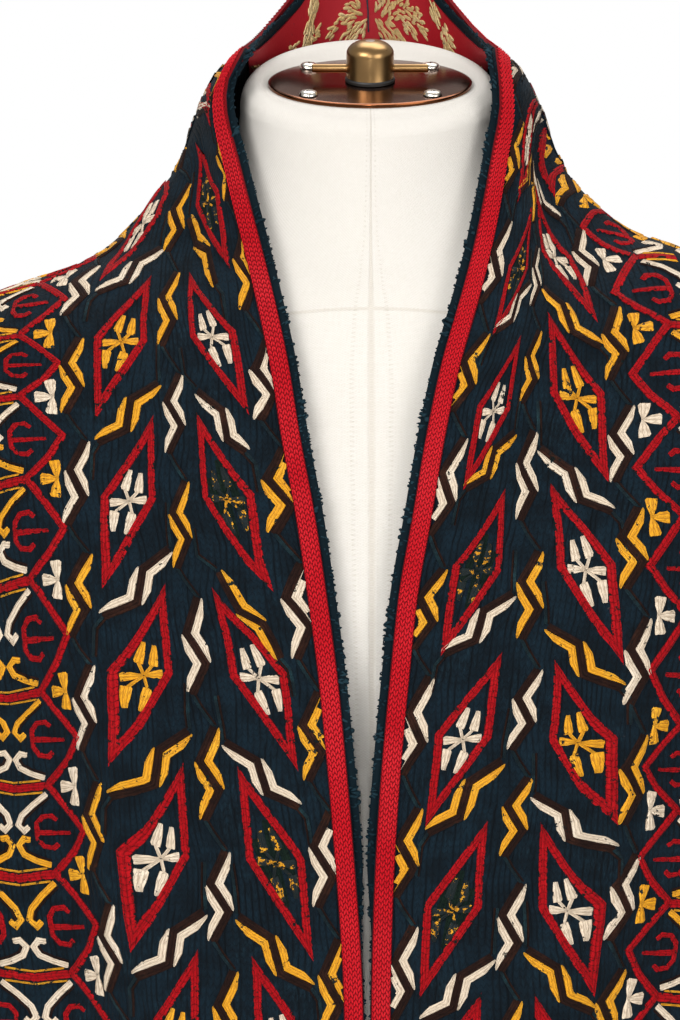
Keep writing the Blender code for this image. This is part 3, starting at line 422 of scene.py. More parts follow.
def spline(knots: np.ndarray, values: np.ndarray, at: np.ndarray) -> np.ndarray:
    """Smooth curve through points along the first axis, with its neighbours' slope at each.

    Args:
        knots: rising places of the points.
        values: the points, any further axes.
        at: where the curve is read.

    Returns:
        The curve's points, one for each place.
    """
    shape = (-1,) + (1,) * (values.ndim - 1)
    step = np.diff(knots).reshape(shape)
    slope = np.diff(values, axis=0) / step
    tangent = np.concatenate([slope[:1], slope[-1:]])
    if len(knots) > 2:
        middle = (slope[:-1] * step[1:] + slope[1:] * step[:-1]) / (step[1:] + step[:-1])
        tangent = np.concatenate([slope[:1], middle, slope[-1:]])
    k = np.clip(np.searchsorted(knots, at, side="right") - 1, 0, len(knots) - 2)
    t = ((at - knots[k]) / (knots[k + 1] - knots[k])).reshape(shape)
    rise = t * t * (3 - 2 * t)
    start, end = t * (1 - t) ** 2, t * t * (t - 1)
    return (
        values[k] * (1 - rise)
        + values[k + 1] * rise
        + step[k] * (tangent[k] * start + tangent[k + 1] * end)
    )


def round_outline(
    half_width: float, front: float, back: float, square: float, angle: np.ndarray
) -> tuple[np.ndarray, np.ndarray]:
    """Plan points of a squared ellipse. The angle is 0 at the front and pi at the back."""
    power = 2.0 / square
    x = half_width * np.abs(np.sin(angle)) ** power * np.sign(np.sin(angle))
    depth = np.where(np.cos(angle) > 0, front, back)
    y = -depth * np.abs(np.cos(angle)) ** power * np.sign(np.cos(angle))
    return x, y


class SizeTable:
    """A table's sizes by height, read quickly."""

    def __init__(self, table: tuple, names: tuple[str, ...]) -> None:
        """Fills a fine list of heights with each named size."""
        knots = column(table, "z")
        self.z = np.linspace(knots.min(), knots.max(), 2600)
        self.sizes = {n: curve_through(knots, column(table, n), self.z) for n in names}

    def at(self, name: str, z: float) -> float:
        """One size at one height."""
        return float(np.interp(z, self.z, self.sizes[name]))


class Contour:
    """The coat's outline in plan at one height and side, from mid-front round to mid-back."""

    def __init__(self, drape: Drape, side: Side, z: float) -> None:
        """Walks the outline and notes where its edge, flank and back lie."""
        self.side, self.z = side, z
        sizes = [drape.plan.at(name, z) for name in ("half_width", "front", "back", "square")]
        self.x, self.y = round_outline(*sizes, drape.angle)
        walked = walked_along(np.stack([self.x, self.y], axis=1))
        self.s = walked - np.interp(0.0, drape.angle, walked)
        self.front = drape.angle <= math.pi / 2
        self.flank = float(np.interp(math.pi / 2, drape.angle, self.s))
        self.back = float(self.s[-1])
        self.edge = self.front_place(drape.edge_reach(side, z)) if z <= NECK_SEAM else 0.0

    def front_place(self, x: float) -> float:
        """Distance along the outline to the point in front that is x from the middle."""
        return float(np.interp(x, self.x[self.front], self.s[self.front]))

    def back_place(self, x: float) -> float:
        """Distance along the outline to the point behind that is x from the middle."""
        return float(np.interp(-x, -self.x[~self.front], self.s[~self.front]))

    def point(self, s: float) -> np.ndarray:
        """The folded cloth's point s along the outline."""
        near = 0.002
        x, x0, x1 = np.interp([s, s - near, s + near], self.s, self.x)
        y, y0, y1 = np.interp([s, s - near, s + near], self.s, self.y)
        length = math.hypot(x1 - x0, y1 - y0) or 1.0
        depth = fold_depth(self.side, self.z, (s - self.edge) / (self.back - self.edge))
        x += (y1 - y0) / length * depth
        y -= (x1 - x0) / length * depth
        return np.array([self.side * x, y, self.z + shoulder_lift(self.side, x, self.z)])


def shoulder_lift(side: Side, x: float | np.ndarray, z: float | np.ndarray) -> float | np.ndarray:
    """How much higher the wearer's left shoulder sits."""
    outward, upward = (x - LIFT_FROM) / LIFT_RUN, (z - LIFT_FOOT) / LIFT_RISE
    return SHOULDER_LIFT * smooth_step(outward) * smooth_step(upward) * (side > 0)


def fold_depth(side: Side, z: float, share: float) -> float:
    """How far the cloth stands out or in at a height and a share of the way round."""
    depth = 0.0
    for fold in FOLDS:
        if fold.side not in (BOTH, side) or z >= fold.top:
            continue
        down = (fold.top - z) / (fold.top - fold.foot)
        if fold.foot > HEM and down > 1:
            continue
        down = min(down, 1.0)
        place = fold.place_top + (fold.place_foot - fold.place_top) * down
        half = fold.half_top + (fold.half_foot - fold.half_top) * down
        away = abs(share - place) / half
        if away >= 1:
            continue
        size = fold.depth_top + (fold.depth_foot - fold.depth_top) * down
        fade = smooth_step((fold.top - z) / FOLD_FADE_IN)
        if fold.foot > HEM:
            fade *= smooth_step((z - fold.foot) / FOLD_FADE_OUT)
        depth += size * fade * 0.5 * (1 + math.cos(math.pi * away))
    return depth


def armhole_reach(z: float) -> float:
    """How far the armhole's edge lies in front of or behind the side of the body."""
    along = (SHOULDER_END - z) / (SHOULDER_END - UNDERARM)
    return 2 * ARMHOLE_REACH * math.sqrt(max(0.0, along * (1 - along)))


def panel_side(contour: Contour, front: bool) -> float:
    """Distance along the outline to a panel's side edge: the armhole, then the gore's seam."""
    z = contour.z
    inner = contour.edge if front else contour.back
    outward = 1 if front else -1
    if z >= UNDERARM:
        ease = float(smooth_step((UNDERARM + UNDERARM_EASE - z) / UNDERARM_EASE))
        return contour.flank - outward * max(armhole_reach(z), GORE_TOP_HALF * ease)
    down = (UNDERARM - z) / (UNDERARM - HEM)
    start = abs(contour.flank - inner) - GORE_TOP_HALF
    return inner + outward * (start + (PANEL_HEM_WIDTH - start) * down)


class Warp(NamedTuple):
    """Where a warp line leaves the top of its panel, and its share of the way to the side."""

    share: float
    top_x: float
    top_z: float


class Drape:
    """The worn coat's surface, set out warp line by warp line as its solids are."""

    def __init__(self) -> None:
        """Reads the tables once."""
        self.angle = np.linspace(-PAST_MIDDLE, math.pi, CONTOUR_STEPS)
        self.plan = SizeTable(COAT, ("half_width", "front", "back", "square"))
        self.edge = SizeTable(FRONT_EDGE, ("right", "left"))
        z = np.linspace(NECK_SEAM, SHOULDER_END, 80)
        x = curve_through(column(COAT, "z"), column(COAT, "half_width"), z)
        self.ridge = np.stack([x, z], axis=1)
        self.ridge_walked = walked_along(self.ridge)

    def edge_reach(self, side: Side, z: float) -> float:
        """Distance of a front's free edge from the middle at height z."""
        return self.edge.at(side.word, z)

    def on_ridge(self, share: float) -> tuple[float, float]:
        """The shoulder seam's point at a share of its length from the neck."""
        at = share * self.ridge_walked[-1]
        x, z = (float(np.interp(at, self.ridge_walked, self.ridge[:, k])) for k in (0, 1))
        return x, z

    def trace(self, side: Side, front: bool, warp: Warp, beside_edge: bool = False) -> np.ndarray:
        """A warp line of a panel from its top edge to the hem, as many close points.

        Args:
            side: the wearer's side.
            front: whether the panel is a front, and otherwise it is half the back.
            warp: where the line starts.
            beside_edge: whether the line keeps one braid's width from the free edge.

        Returns:
            The line's points, from the top.
        """

        def place(contour: Contour) -> float:
            if not front:
                return contour.back_place(warp.top_x)
            drift = self.edge_reach(side, contour.z) - self.edge_reach(side, warp.top_z)
            return contour.front_place(warp.top_x + drift * (1 - warp.share))

        low = Contour(self, side, SHOULDER_END)
        inner = low.edge if front else low.back
        low_share = 1.0
        if warp.share != 1.0:
            low_share = (place(low) - inner) / (panel_side(low, front) - inner)
        points = []
        for step in np.linspace(0.0, 1.0, TRACE_STEPS):
            z = warp.top_z + (HEM - warp.top_z) * step**TRACE_POWER
            contour = Contour(self, side, z)
            inner = contour.edge if front else contour.back
            if step == 0.0 and warp.top_z <= NECK_SEAM:
                s = contour.flank
            elif beside_edge:
                s = min(inner + BRAID_WIDTH, contour.flank)
            elif z > SHOULDER_END:
                s = place(contour)
            else:
                s = inner + low_share * (panel_side(contour, front) - inner)
            points.append(contour.point(s))
        return np.array(points)

    def spaced_down(self, line: np.ndarray) -> np.ndarray:
        """The points of a warp line at the panel's weft rows, above and below the underarm."""
        walked = walked_along(line)
        underarm = float(np.interp(-UNDERARM, -line[:, 2], walked))
        rows = [0.0, BRAID_WIDTH]
        rows += [underarm * row for row in UPPER_ROWS]
        rows += [underarm + (walked[-1] - underarm) * row for row in LOWER_ROWS]
        return np.stack([np.interp(rows, walked, line[:, k]) for k in range(3)], axis=1)

    def front_grid(self, side: Side) -> np.ndarray:
        """Outer points of a front panel, by row and column, from its free edge to its side."""
        columns = []
        braid_share = BRAID_WIDTH / self.ridge_walked[-1]
        for share in (0.0, braid_share, *FRONT_COLUMNS):
            warp = Warp(share, *self.on_ridge(share))
            columns.append(self.spaced_down(self.trace(side, True, warp, share == braid_share)))
        return np.stack(columns, axis=1)

    def back_half_grid(self, side: Side) -> np.ndarray:
        """Outer points of half the back, from the middle to the side."""
        collar_x = np.linspace(0.0, COLLAR[-1].x, 60)
        collar_z = curve_through(column(COLLAR, "x"), column(COLLAR, "z"), collar_x)
        collar_walked = walked_along(np.stack([collar_x, collar_z], axis=1))
        whole = collar_walked[-1] + self.ridge_walked[-1]
        warps = []
        for share in COLLAR_COLUMNS:
            at = share * collar_walked[-1]
            x, z = np.interp(at, collar_walked, collar_x), np.interp(at, collar_walked, collar_z)
            warps.append(Warp(at / whole, float(x), float(z)))
        for share in (BRAID_WIDTH / self.ridge_walked[-1], *RIDGE_COLUMNS):
            at = share * self.ridge_walked[-1]
            warps.append(Warp((collar_walked[-1] + at) / whole, *self.on_ridge(share)))
        lines = [self.spaced_down(self.trace(side, False, warp)) for warp in warps]
        return np.stack(lines, axis=1)

    def gore_grid(self, side: Side, ahead: np.ndarray, behind: np.ndarray) -> np.ndarray:
        """Outer points of a gore between the side edges of a front and of the back."""
        rows = []
        for one, other in zip(ahead[UNDERARM_ROW:], behind[UNDERARM_ROW:]):
            row = [one]
            for share in GORE_COLUMNS[1:-1]:
                contour = Contour(self, side, one[2] + (other[2] - one[2]) * share)
                start, end = panel_side(contour, True), panel_side(contour, False)
                row.append(contour.point(start + (end - start) * share))
            rows.append([*row, other])
        return np.array(rows)

    def sleeve_grid(self, side: Side, loop: np.ndarray) -> np.ndarray:
        """Outer points of an empty sleeve, ring by ring from the armhole to the cuff."""
        angle = np.linspace(0.0, 2 * math.pi, len(loop), endpoint=False)
        rings = []
        for number, ring in enumerate(SLEEVE):
            outer = np.array([ring.outer_x, 0.0, ring.outer_z])
            inner = np.array([ring.inner_x, 0.0, ring.inner_z])
            middle, half = (outer + inner) / 2, (outer - inner) / 2
            power = 2.0 / ring.square
            along = np.abs(np.cos(angle)) ** power * np.sign(np.cos(angle))
            beside = np.abs(np.sin(angle)) ** power * np.sign(np.sin(angle))
            down = number / (len(SLEEVE) - 1)
            crease = SLEEVE_CREASE_DEPTH * math.sin(math.pi * min(1.0, down * CREASE_FADE))
            around = SLEEVE_CREASES * angle + CREASE_SLANT * down
            wave = 1 - crease / ring.half_depth * (1 + np.cos(around))
            points = middle + np.outer(along * wave, half)
            points[:, 1] -= ring.half_depth * beside * wave
            points[:, 2] += shoulder_lift(side, points[:, 0], points[:, 2])
            points[:, 0] *= side
            rings.append(points)
        loop = loop + unit(rings[0] - loop) * 2 * SEAM_GAP
        return np.concatenate([loop[None], np.array(rings)])


def row_places() -> np.ndarray:
    """Nominal distance of each weft row from the top of a panel, which all panels share."""
    rows = [0.0, BRAID_WIDTH, *[ARMHOLE_ROW_REACH * row for row in UPPER_ROWS]]
    return np.array(rows + [ARMHOLE_ROW_REACH + (UNDERARM - HEM) * row for row in LOWER_ROWS])


def outward_normals(grid: np.ndarray, closed: bool = False) -> np.ndarray:
    """Unit normals of a grid of points, turned to face away from the grid's upright axis."""
    if closed:
        across = np.roll(grid, -1, axis=1) - np.roll(grid, 1, axis=1)
    else:
        across = np.gradient(grid, axis=1)
    normal = unit(np.cross(across, np.gradient(grid, axis=0)))
    middle = grid.mean(axis=1, keepdims=True) if closed else np.zeros(3)
    away = (grid - middle) * np.array([1.0, 1.0, 0.0])
    return normal if (normal * away).sum() > 0 else -normal


def ridge_normals(line: np.ndarray, side: Side) -> np.ndarray:
    """Normals along the shoulder seam, which the front and the back share."""
    along = np.gradient(line, axis=0)
    upright = [side * np.abs(along[:, 2]), 0 * along[:, 1], np.abs(along[:, 0])]
    return unit(np.stack(upright, axis=1))


def share_normals(one: np.ndarray, other: np.ndarray) -> None:
    """Gives two panels' normals along their common seam one value, in place."""
    both = unit(one + other)
    one[:] = both
    other[:] = both


def drawn_in(grid: np.ndarray, gaps: tuple[str, ...]) -> np.ndarray:
    """A grid whose named sides are drawn in by a seam gap."""
    grid = grid.copy()
    for name in gaps:
        line, beside = {
            "top": (grid[0], grid[1]),
            "first": (grid[:, 0], grid[:, 1]),
            "last": (grid[:, -1], grid[:, -2]),
        }[name]
        line += unit(beside - line) * SEAM_GAP
    return grid


def mesh_object(name: str, vertices: np.ndarray, faces: list | np.ndarray) -> bpy.types.Object:
    """A linked mesh object at the origin, with smooth faces as they are given."""
    mesh = bpy.data.meshes.new(name)
    mesh.from_pydata([tuple(v) for v in np.asarray(vertices, float)], [], list(map(tuple, faces)))
    mesh.shade_smooth()
    obj = bpy.data.objects.new(name, mesh)
    bpy.context.scene.collection.objects.link(obj)
    return obj


def paint_attribute(obj: bpy.types.Object, name: str, values: np.ndarray) -> None:
    """Stores one vector for each vertex, padded to three numbers."""
    values = np.asarray(values, np.float32).reshape(len(obj.data.vertices), -1)
    full = np.zeros((len(values), 3), np.float32)
    full[:, : values.shape[1]] = values
    obj.data.attributes.new(name, "FLOAT_VECTOR", "POINT").data.foreach_set("vector", full.ravel())


def grid_faces(rows: int, columns: int, start: int = 0, closed: bool = False) -> np.ndarray:
    """Quads of a grid of vertices that are numbered row by row from start."""
    r, c = np.meshgrid(np.arange(rows - 1), np.arange(columns if closed else columns - 1))
    r, c = r.ravel(), c.ravel()
    far = (c + 1) % columns
    quads = [r * columns + c, (r + 1) * columns + c, (r + 1) * columns + far, r * columns + far]
    return np.stack(quads, axis=1) + start


def point_outward(obj: bpy.types.Object, normals: np.ndarray) -> None:
    """Turns every face over if the faces stand against the given vertex normals."""
    mesh = obj.data
    face = np.empty(len(mesh.polygons) * 3)
    mesh.polygons.foreach_get("normal", face)
    first = np.array([poly.vertices[0] for poly in mesh.polygons])
    if (face.reshape(-1, 3) * normals[first]).sum() < 0:
        mesh.flip_normals()


@dataclass
class Cloth:
    """A cloth of the coat: its outer points and normals by row and column, and its chart.

    across is the distance along each weft from the chart's own middle or edge, and down the
    distance down each warp line.
    """

    name: str
    points: np.ndarray
    normals: np.ndarray
    across: np.ndarray
    down: np.ndarray
    closed: bool = False
    drift: np.ndarray | float = 0.0

    def wall(self, gaps: tuple[str, ...] = (), thick: float = CLOTH) -> bpy.types.Object:
        """The cloth as a closed wall of its true thickness, with its chart on each vertex."""
        outer = drawn_in(self.points, gaps)
        inner = outer - self.normals * thick
        rows, columns = outer.shape[:2]
        count = rows * columns
        faces = [grid_faces(rows, columns, 0, self.closed)]
        faces.append(grid_faces(rows, columns, count, self.closed)[:, ::-1])
        c = np.arange(columns if self.closed else columns - 1)
        rims = [(row * columns + c, row * columns + (c + 1) % columns) for row in (0, rows - 1)]
        if not self.closed:
            r = np.arange(rows - 1)
            rims += [(r * columns + col, (r + 1) * columns + col) for col in (0, columns - 1)]
        for (start, end), turn in zip(rims, (1, -1, -1, 1)):
            rim = np.stack([start, end, end + count, start + count], axis=1)
            faces.append(rim[:, ::turn])
        vertices = np.concatenate([outer.reshape(-1, 3), inner.reshape(-1, 3)])
        obj = mesh_object(self.name, vertices, np.concatenate(faces))
        normals = self.normals.reshape(-1, 3)
        point_outward(obj, np.concatenate([normals, -normals]))
        chart = np.stack([self.across, self.down], axis=-1).reshape(-1, 2)
        paint_attribute(obj, "chart", np.concatenate([chart, chart]))
        obj.data.set_sharp_from_angle(angle=math.radians(50.0))
        return obj

    def guide(self, bare: float = 0.0) -> bpy.types.Object:
        """The outer face alone, for sewing down onto: it is removed once the pieces are made.

        Nothing is sewn within a bare margin along the first edge.
        """
        points, normals, down = self.points, self.normals, self.down
        across = self.across + self.drift
        if bare:
            share = (bare / across[:, 1] - 1.0)[:, None]
            cut = []
            for grid in (points, normals, down, across):
                grid = grid[:, 1:].copy()
                grid[:, 0] += (grid[:, 1] - grid[:, 0]) * (share if grid.ndim == 3 else share[:, 0])
                cut.append(grid)
            points, normals, down, across = cut
        rows, columns = points.shape[:2]
        obj = mesh_object(self.name + ".guide", points.reshape(-1, 3), grid_faces(rows, columns))
        point_outward(obj, normals.reshape(-1, 3))
        paint_attribute(obj, "chart", np.stack([across, down], axis=-1).reshape(-1, 2))
        paint_attribute(obj, "out", normals.reshape(-1, 3))
        return obj


def refined(
    grid: np.ndarray, row_knots: np.ndarray, row_at: np.ndarray, column_at: np.ndarray
) -> np.ndarray:
    """A finer grid of points through a coarse one.

    Args:
        grid: the coarse points.
        row_knots: the nominal place of each coarse row.
        row_at: the places of the fine rows.
        column_at: the places of the fine columns, from 0 to 1 of the mean width.

    Returns:
        The fine points, by row and column.
    """
    walked = walked_along(grid.transpose(1, 0, 2)).mean(axis=1)
    fine = spline(row_knots, grid, row_at)
    return spline(walked / walked[-1], fine.transpose(1, 0, 2), column_at).transpose(1, 0, 2)


# Pairs of a place on the chart and the drift there: down the chart for the bulge and the gather,
# across it for the squeeze. The last table is the share of the squeeze down the chart.
BULGE = ((-0.13, 0.0), (-0.01, 0.009), (0.04, 0.012), (0.08, 0.0095), (0.12, 0.004), (0.16, 0.0))
BULGE_FROM, BULGE_RUN = 0.089, 0.030
GATHER = ((-0.26, 0.031), (-0.221, 0.027), (-0.165, 0.016), (-0.113, 0.008), (-0.05, 0.0))
GATHER_FROM, GATHER_RUN = 0.019, 0.035
SQUEEZE = (
    *((0.009, 0.0), (0.014, 0.0025), (0.021, 0.0035), (0.029, 0.0065), (0.039, 0.0075)),
    *((0.049, 0.0065), (0.056, 0.0045), (0.063, 0.0030), (0.071, 0.0015), (0.081, 0.0)),
)
SQUEEZE_SHARE = (
    *((-0.34, 0.3), (-0.28, 0.55), (-0.25, 0.85), (-0.22, 1.0), (-0.085, 1.0), (-0.050, 0.0)),
)


def pattern_drift(side: Side, across: np.ndarray, down: np.ndarray) -> np.ndarray:
    """How far the embroidery's own place runs ahead of the distance across a front.

    Both fronts stray outwards below the underarm. The left one is also gathered in its deep fold,
    and the right one's inner columns are squeezed away from the braid.
    """
    drift = -np.interp(down, *np.array(BULGE).T) * smooth_step((across - BULGE_FROM) / BULGE_RUN)
    if side is Side.RIGHT:
        share = np.interp(down, *np.array(SQUEEZE_SHARE).T)
        return drift - np.interp(across, *np.array(SQUEEZE).T) * share
    taken = np.interp(down, *np.array(GATHER).T)
    return drift + taken * smooth_step((across - GATHER_FROM) / GATHER_RUN)


SEAM_GAPS = {
    "front": ("top", "last"),
    "gore": ("top", "first", "last"),
    "back": ("first", "last"),
    "sleeve": ("first", "last"),
}


@dataclass
class Coat:
    """The five cloths of the body of the coat and its two sleeves."""

    drape: Drape
    spacing: float = 0.0079
    sleeve_columns: int = 64
    fronts: dict[Side, Cloth] = field(default_factory=dict)
    gores: dict[Side, Cloth] = field(default_factory=dict)
    sleeves: dict[Side, Cloth] = field(default_factory=dict)
    back: Cloth | None = None
    walls: dict[str, bpy.types.Object] = field(default_factory=dict)

    def fine_rows(self, first: int = 0) -> np.ndarray:
        """Places of the fine rows, from a coarse row down, with one at the underarm."""
        knots = row_places()[first:]
        under = row_places()[UNDERARM_ROW]
        lower = np.linspace(under, knots[-1], round((knots[-1] - under) / self.spacing) + 1)
        if first:
            return lower
        upper = np.linspace(0.0, under, round(under / self.spacing) + 1)
        return np.concatenate([upper, lower[1:]])

    def build(self) -> None:
        """Sets out every cloth from the coarse grids that its solid has, and makes its wall."""
        drape, knots = self.drape, row_places()
        rows, low_rows = self.fine_rows(), self.fine_rows(UNDERARM_ROW)
        under = len(rows) - len(low_rows)
        coarse = {side: drape.front_grid(side) for side in Side}
        half = {side: drape.back_half_grid(side) for side in Side}
        whole = np.concatenate([half[RIGHT][:, ::-1], half[LEFT][:, 1:]], axis=1)
        back = refined(whole, knots, rows, self.columns(whole))
        back_normal = outward_normals(back)
        self.trim_ridge_normals(back, back_normal)
        for side in Side:
            fine = refined(coarse[side], knots, rows, self.columns(coarse[side]))
            normal = outward_normals(fine)
            normal[0] = ridge_normals(fine[0], side)
            gore = drape.gore_grid(side, coarse[side][:, -1], half[side][:, -1])
            gore_fine = refined(gore, knots[UNDERARM_ROW:], low_rows, self.columns(gore))
            gore_normal = outward_normals(gore_fine)
            edge = -1 if side is LEFT else 0
            share_normals(normal[under:, -1], gore_normal[:, 0])
            share_normals(back_normal[under:, edge], gore_normal[:, -1])
            front = self.charted(f"front_{side.word}_cloth", fine, normal, under)
            front.drift = pattern_drift(side, front.across, front.down)
            self.fronts[side] = front
            gore_name = f"gore_{side.word}_cloth"
            self.gores[side] = self.charted(gore_name, gore_fine, gore_normal, 0, 0.5)
            self.sleeves[side] = self.sleeve(side, coarse[side], half[side], gore)
        self.back = self.charted("back_cloth", back, back_normal, under, 0.5)
        navy = LacedGround().material()
        groups = (self.fronts, self.gores, self.sleeves)
        paired = [cloth for group in groups for cloth in group.values()]
        for cloth in (*paired, self.back):
            gaps = SEAM_GAPS[cloth.name.split("_")[0]]
            self.walls[cloth.name] = dress(cloth.wall(gaps), navy)

    def columns(self, grid: np.ndarray) -> np.ndarray:
        """Fine columns for a coarse grid, evenly spaced over its mean width."""
        width = walked_along(grid.transpose(1, 0, 2)).mean(axis=1)[-1]
        return np.linspace(0.0, 1.0, 2 * round(width / self.spacing / 2) + 1)

    def trim_ridge_normals(self, back: np.ndarray, normal: np.ndarray) -> None:
        """Gives the back's shoulder seams the normals that the fronts have there."""
        beyond = np.abs(back[0, :, 0]) >= COLLAR[-1].x - 1e-4
        for side in Side:
            cols = np.flatnonzero(beyond & (np.sign(back[0, :, 0]) == side))[::side]
            normal[0, cols] = ridge_normals(back[0, cols], side)

    def charted(
        self, name: str, points: np.ndarray, normals: np.ndarray, level: int, middle: float = 0.0
    ) -> Cloth:
        """A cloth with its chart.

        Args:
            name: the piece's name.
            points: its outer points.
            normals: their normals.
            level: the row from which distances down are counted.
            middle: the share of the way across from which distances across are counted.

        Returns:
            The charted cloth.
        """
        across = walked_along(points.transpose(1, 0, 2)).T
        across = across - across[:, -1:] * middle
        down = walked_along(points)
        down = down - down[level]
        return Cloth(name, points, normals, across, down)

    def sleeve(
        self, side: Side, front: np.ndarray, back_half: np.ndarray, gore: np.ndarray
    ) -> Cloth:
        """A sleeve as one cloth whose long edges meet in the seam under the arm."""
        rows = list(ARMHOLE_ROWS)
        under = gore[0, len(GORE_COLUMNS) // 2]
        loop = np.array([front[0, -1], *front[rows, -1], under, *back_half[rows[::-1], -1]])
        grid = self.drape.sleeve_grid(side, loop)
        seam = len(rows) + 1
        grid = np.roll(grid, -seam, axis=1)
        padded = np.concatenate([grid[:, -3:], grid, grid[:, :4]], axis=1)
        places = walked_along(padded.transpose(1, 0, 2)).mean(axis=1)
        first, last = places[3], places[-4]
        down = walked_along(grid).mean(axis=1)
        fine_down = np.linspace(0.0, down[-1], round(down[-1] / self.spacing) + 1)
        fine = spline(down, padded, fine_down)
        at = np.linspace(first, last, self.sleeve_columns + 1)
        fine = spline(places, fine.transpose(1, 0, 2), at).transpose(1, 0, 2)
        normal = outward_normals(fine[:, :-1], closed=True)
        normal = np.concatenate([normal, normal[:, :1]], axis=1)
        return self.charted(f"sleeve_{side.word}_cloth", fine, normal, 0, 0.5)


Colour = tuple[float, float, float]


class Amount:
    """A number that varies over a surface, as a node's socket. Arithmetic on it adds Math nodes."""

    def __init__(self, nodes: Nodes, socket: bpy.types.NodeSocket) -> None:
        """Wraps a socket of a tree."""
        self.nodes, self.socket = nodes, socket

    def math(self, operation: str, *others: Amount | float, before: bool = False) -> Amount:
        """This number and others put through one Math node."""
        values = [*others, self] if before else [self, *others]
        node = self.nodes.add("ShaderNodeMath", {"operation": operation}, dict(enumerate(values)))
        return Amount(self.nodes, node.outputs[0])

    def __add__(self, other: Amount | float) -> Amount:
        """Sum."""
        return self.math("ADD", other)

    __radd__ = __add__

    def __sub__(self, other: Amount | float) -> Amount:
        """Difference."""
        return self.math("SUBTRACT", other)

    def __rsub__(self, other: float) -> Amount:
        """Difference from a plain number."""
        return self.math("SUBTRACT", other, before=True)

    def __mul__(self, other: Amount | float) -> Amount:
        """Product."""
        return self.math("MULTIPLY", other)

    __rmul__ = __mul__

    def __truediv__(self, other: Amount | float) -> Amount:
        """Quotient."""
        return self.math("DIVIDE", other)

    def __pow__(self, other: float) -> Amount:
        """Power."""
        return self.math("POWER", other)

    def __abs__(self) -> Amount:
        """Size without sign."""
        return self.math("ABSOLUTE")

    def fraction(self) -> Amount:
        """What is left over a whole number."""
        return self.math("FRACT")

    def sine(self) -> Amount:
        """Sine of the angle in radians."""
        return self.math("SINE")

    def at_most(self, other: Amount | float) -> Amount:
        """The smaller number."""
        return self.math("MINIMUM", other)

    def at_least(self, other: Amount | float) -> Amount:
        """The larger number."""
        return self.math("MAXIMUM", other)

    def span(self, low: float, high: float) -> Amount:
        """0 at low, 1 at high, and smooth between."""
        settings = {"interpolation_type": "SMOOTHSTEP", "clamp": True}
        values = {"Value": self, "From Min": low, "From Max": high}
        node = self.nodes.add("ShaderNodeMapRange", settings, values)
        return Amount(self.nodes, node.outputs["Result"])


class Nodes:
    """Adds nodes to one tree, a material's or a Geometry Nodes modifier's."""

    def __init__(self, tree: bpy.types.NodeTree) -> None:
        """Keeps the tree."""
        self.tree = tree

    def add(
        self, kind: str, settings: dict | None = None, values: dict | None = None
    ) -> bpy.types.Node:
        """Adds a node.

        Args:
            kind: the node's type.
            settings: its own settings, set first. stops is a ramp's (place, colour) pairs.
            values: what each input holds or is linked to, by its name or number.

        Returns:
            The node.
        """
        node = self.tree.nodes.new(kind)
        for key, value in (settings or {}).items():
            if key == "stops":
                ramp = node.color_ramp
                while len(ramp.elements) < len(value):
                    ramp.elements.new(0.5)
                for element, (place, colour) in zip(ramp.elements, value):
                    element.position, element.color = place, (*colour, 1.0)
            else:
                setattr(node, key, value)
        for key, value in (values or {}).items():
            socket = node.inputs[key]
            if isinstance(value, Amount):
                value = value.socket
            if isinstance(value, bpy.types.NodeSocket):
                self.tree.links.new(value, socket)
            else:
                socket.default_value = value
        return node

    def out(
        self,
        kind: str,
        settings: dict | None = None,
        values: dict | None = None,
        output: int | str = 0,
    ) -> bpy.types.NodeSocket:
        """Adds a node and gives one of its outputs."""
        return self.add(kind, settings, values).outputs[output]

    def vectors(
        self, operation: str, one: bpy.types.NodeSocket, other: bpy.types.NodeSocket | Colour
    ) -> bpy.types.NodeSocket:
        """Two vectors, or a vector and its scale, put through one Vector Math node."""
        values = {0: one, "Scale" if operation == "SCALE" else 1: other}
        output = "Value" if operation == "DOT_PRODUCT" else "Vector"
        return self.out("ShaderNodeVectorMath", {"operation": operation}, values, output)


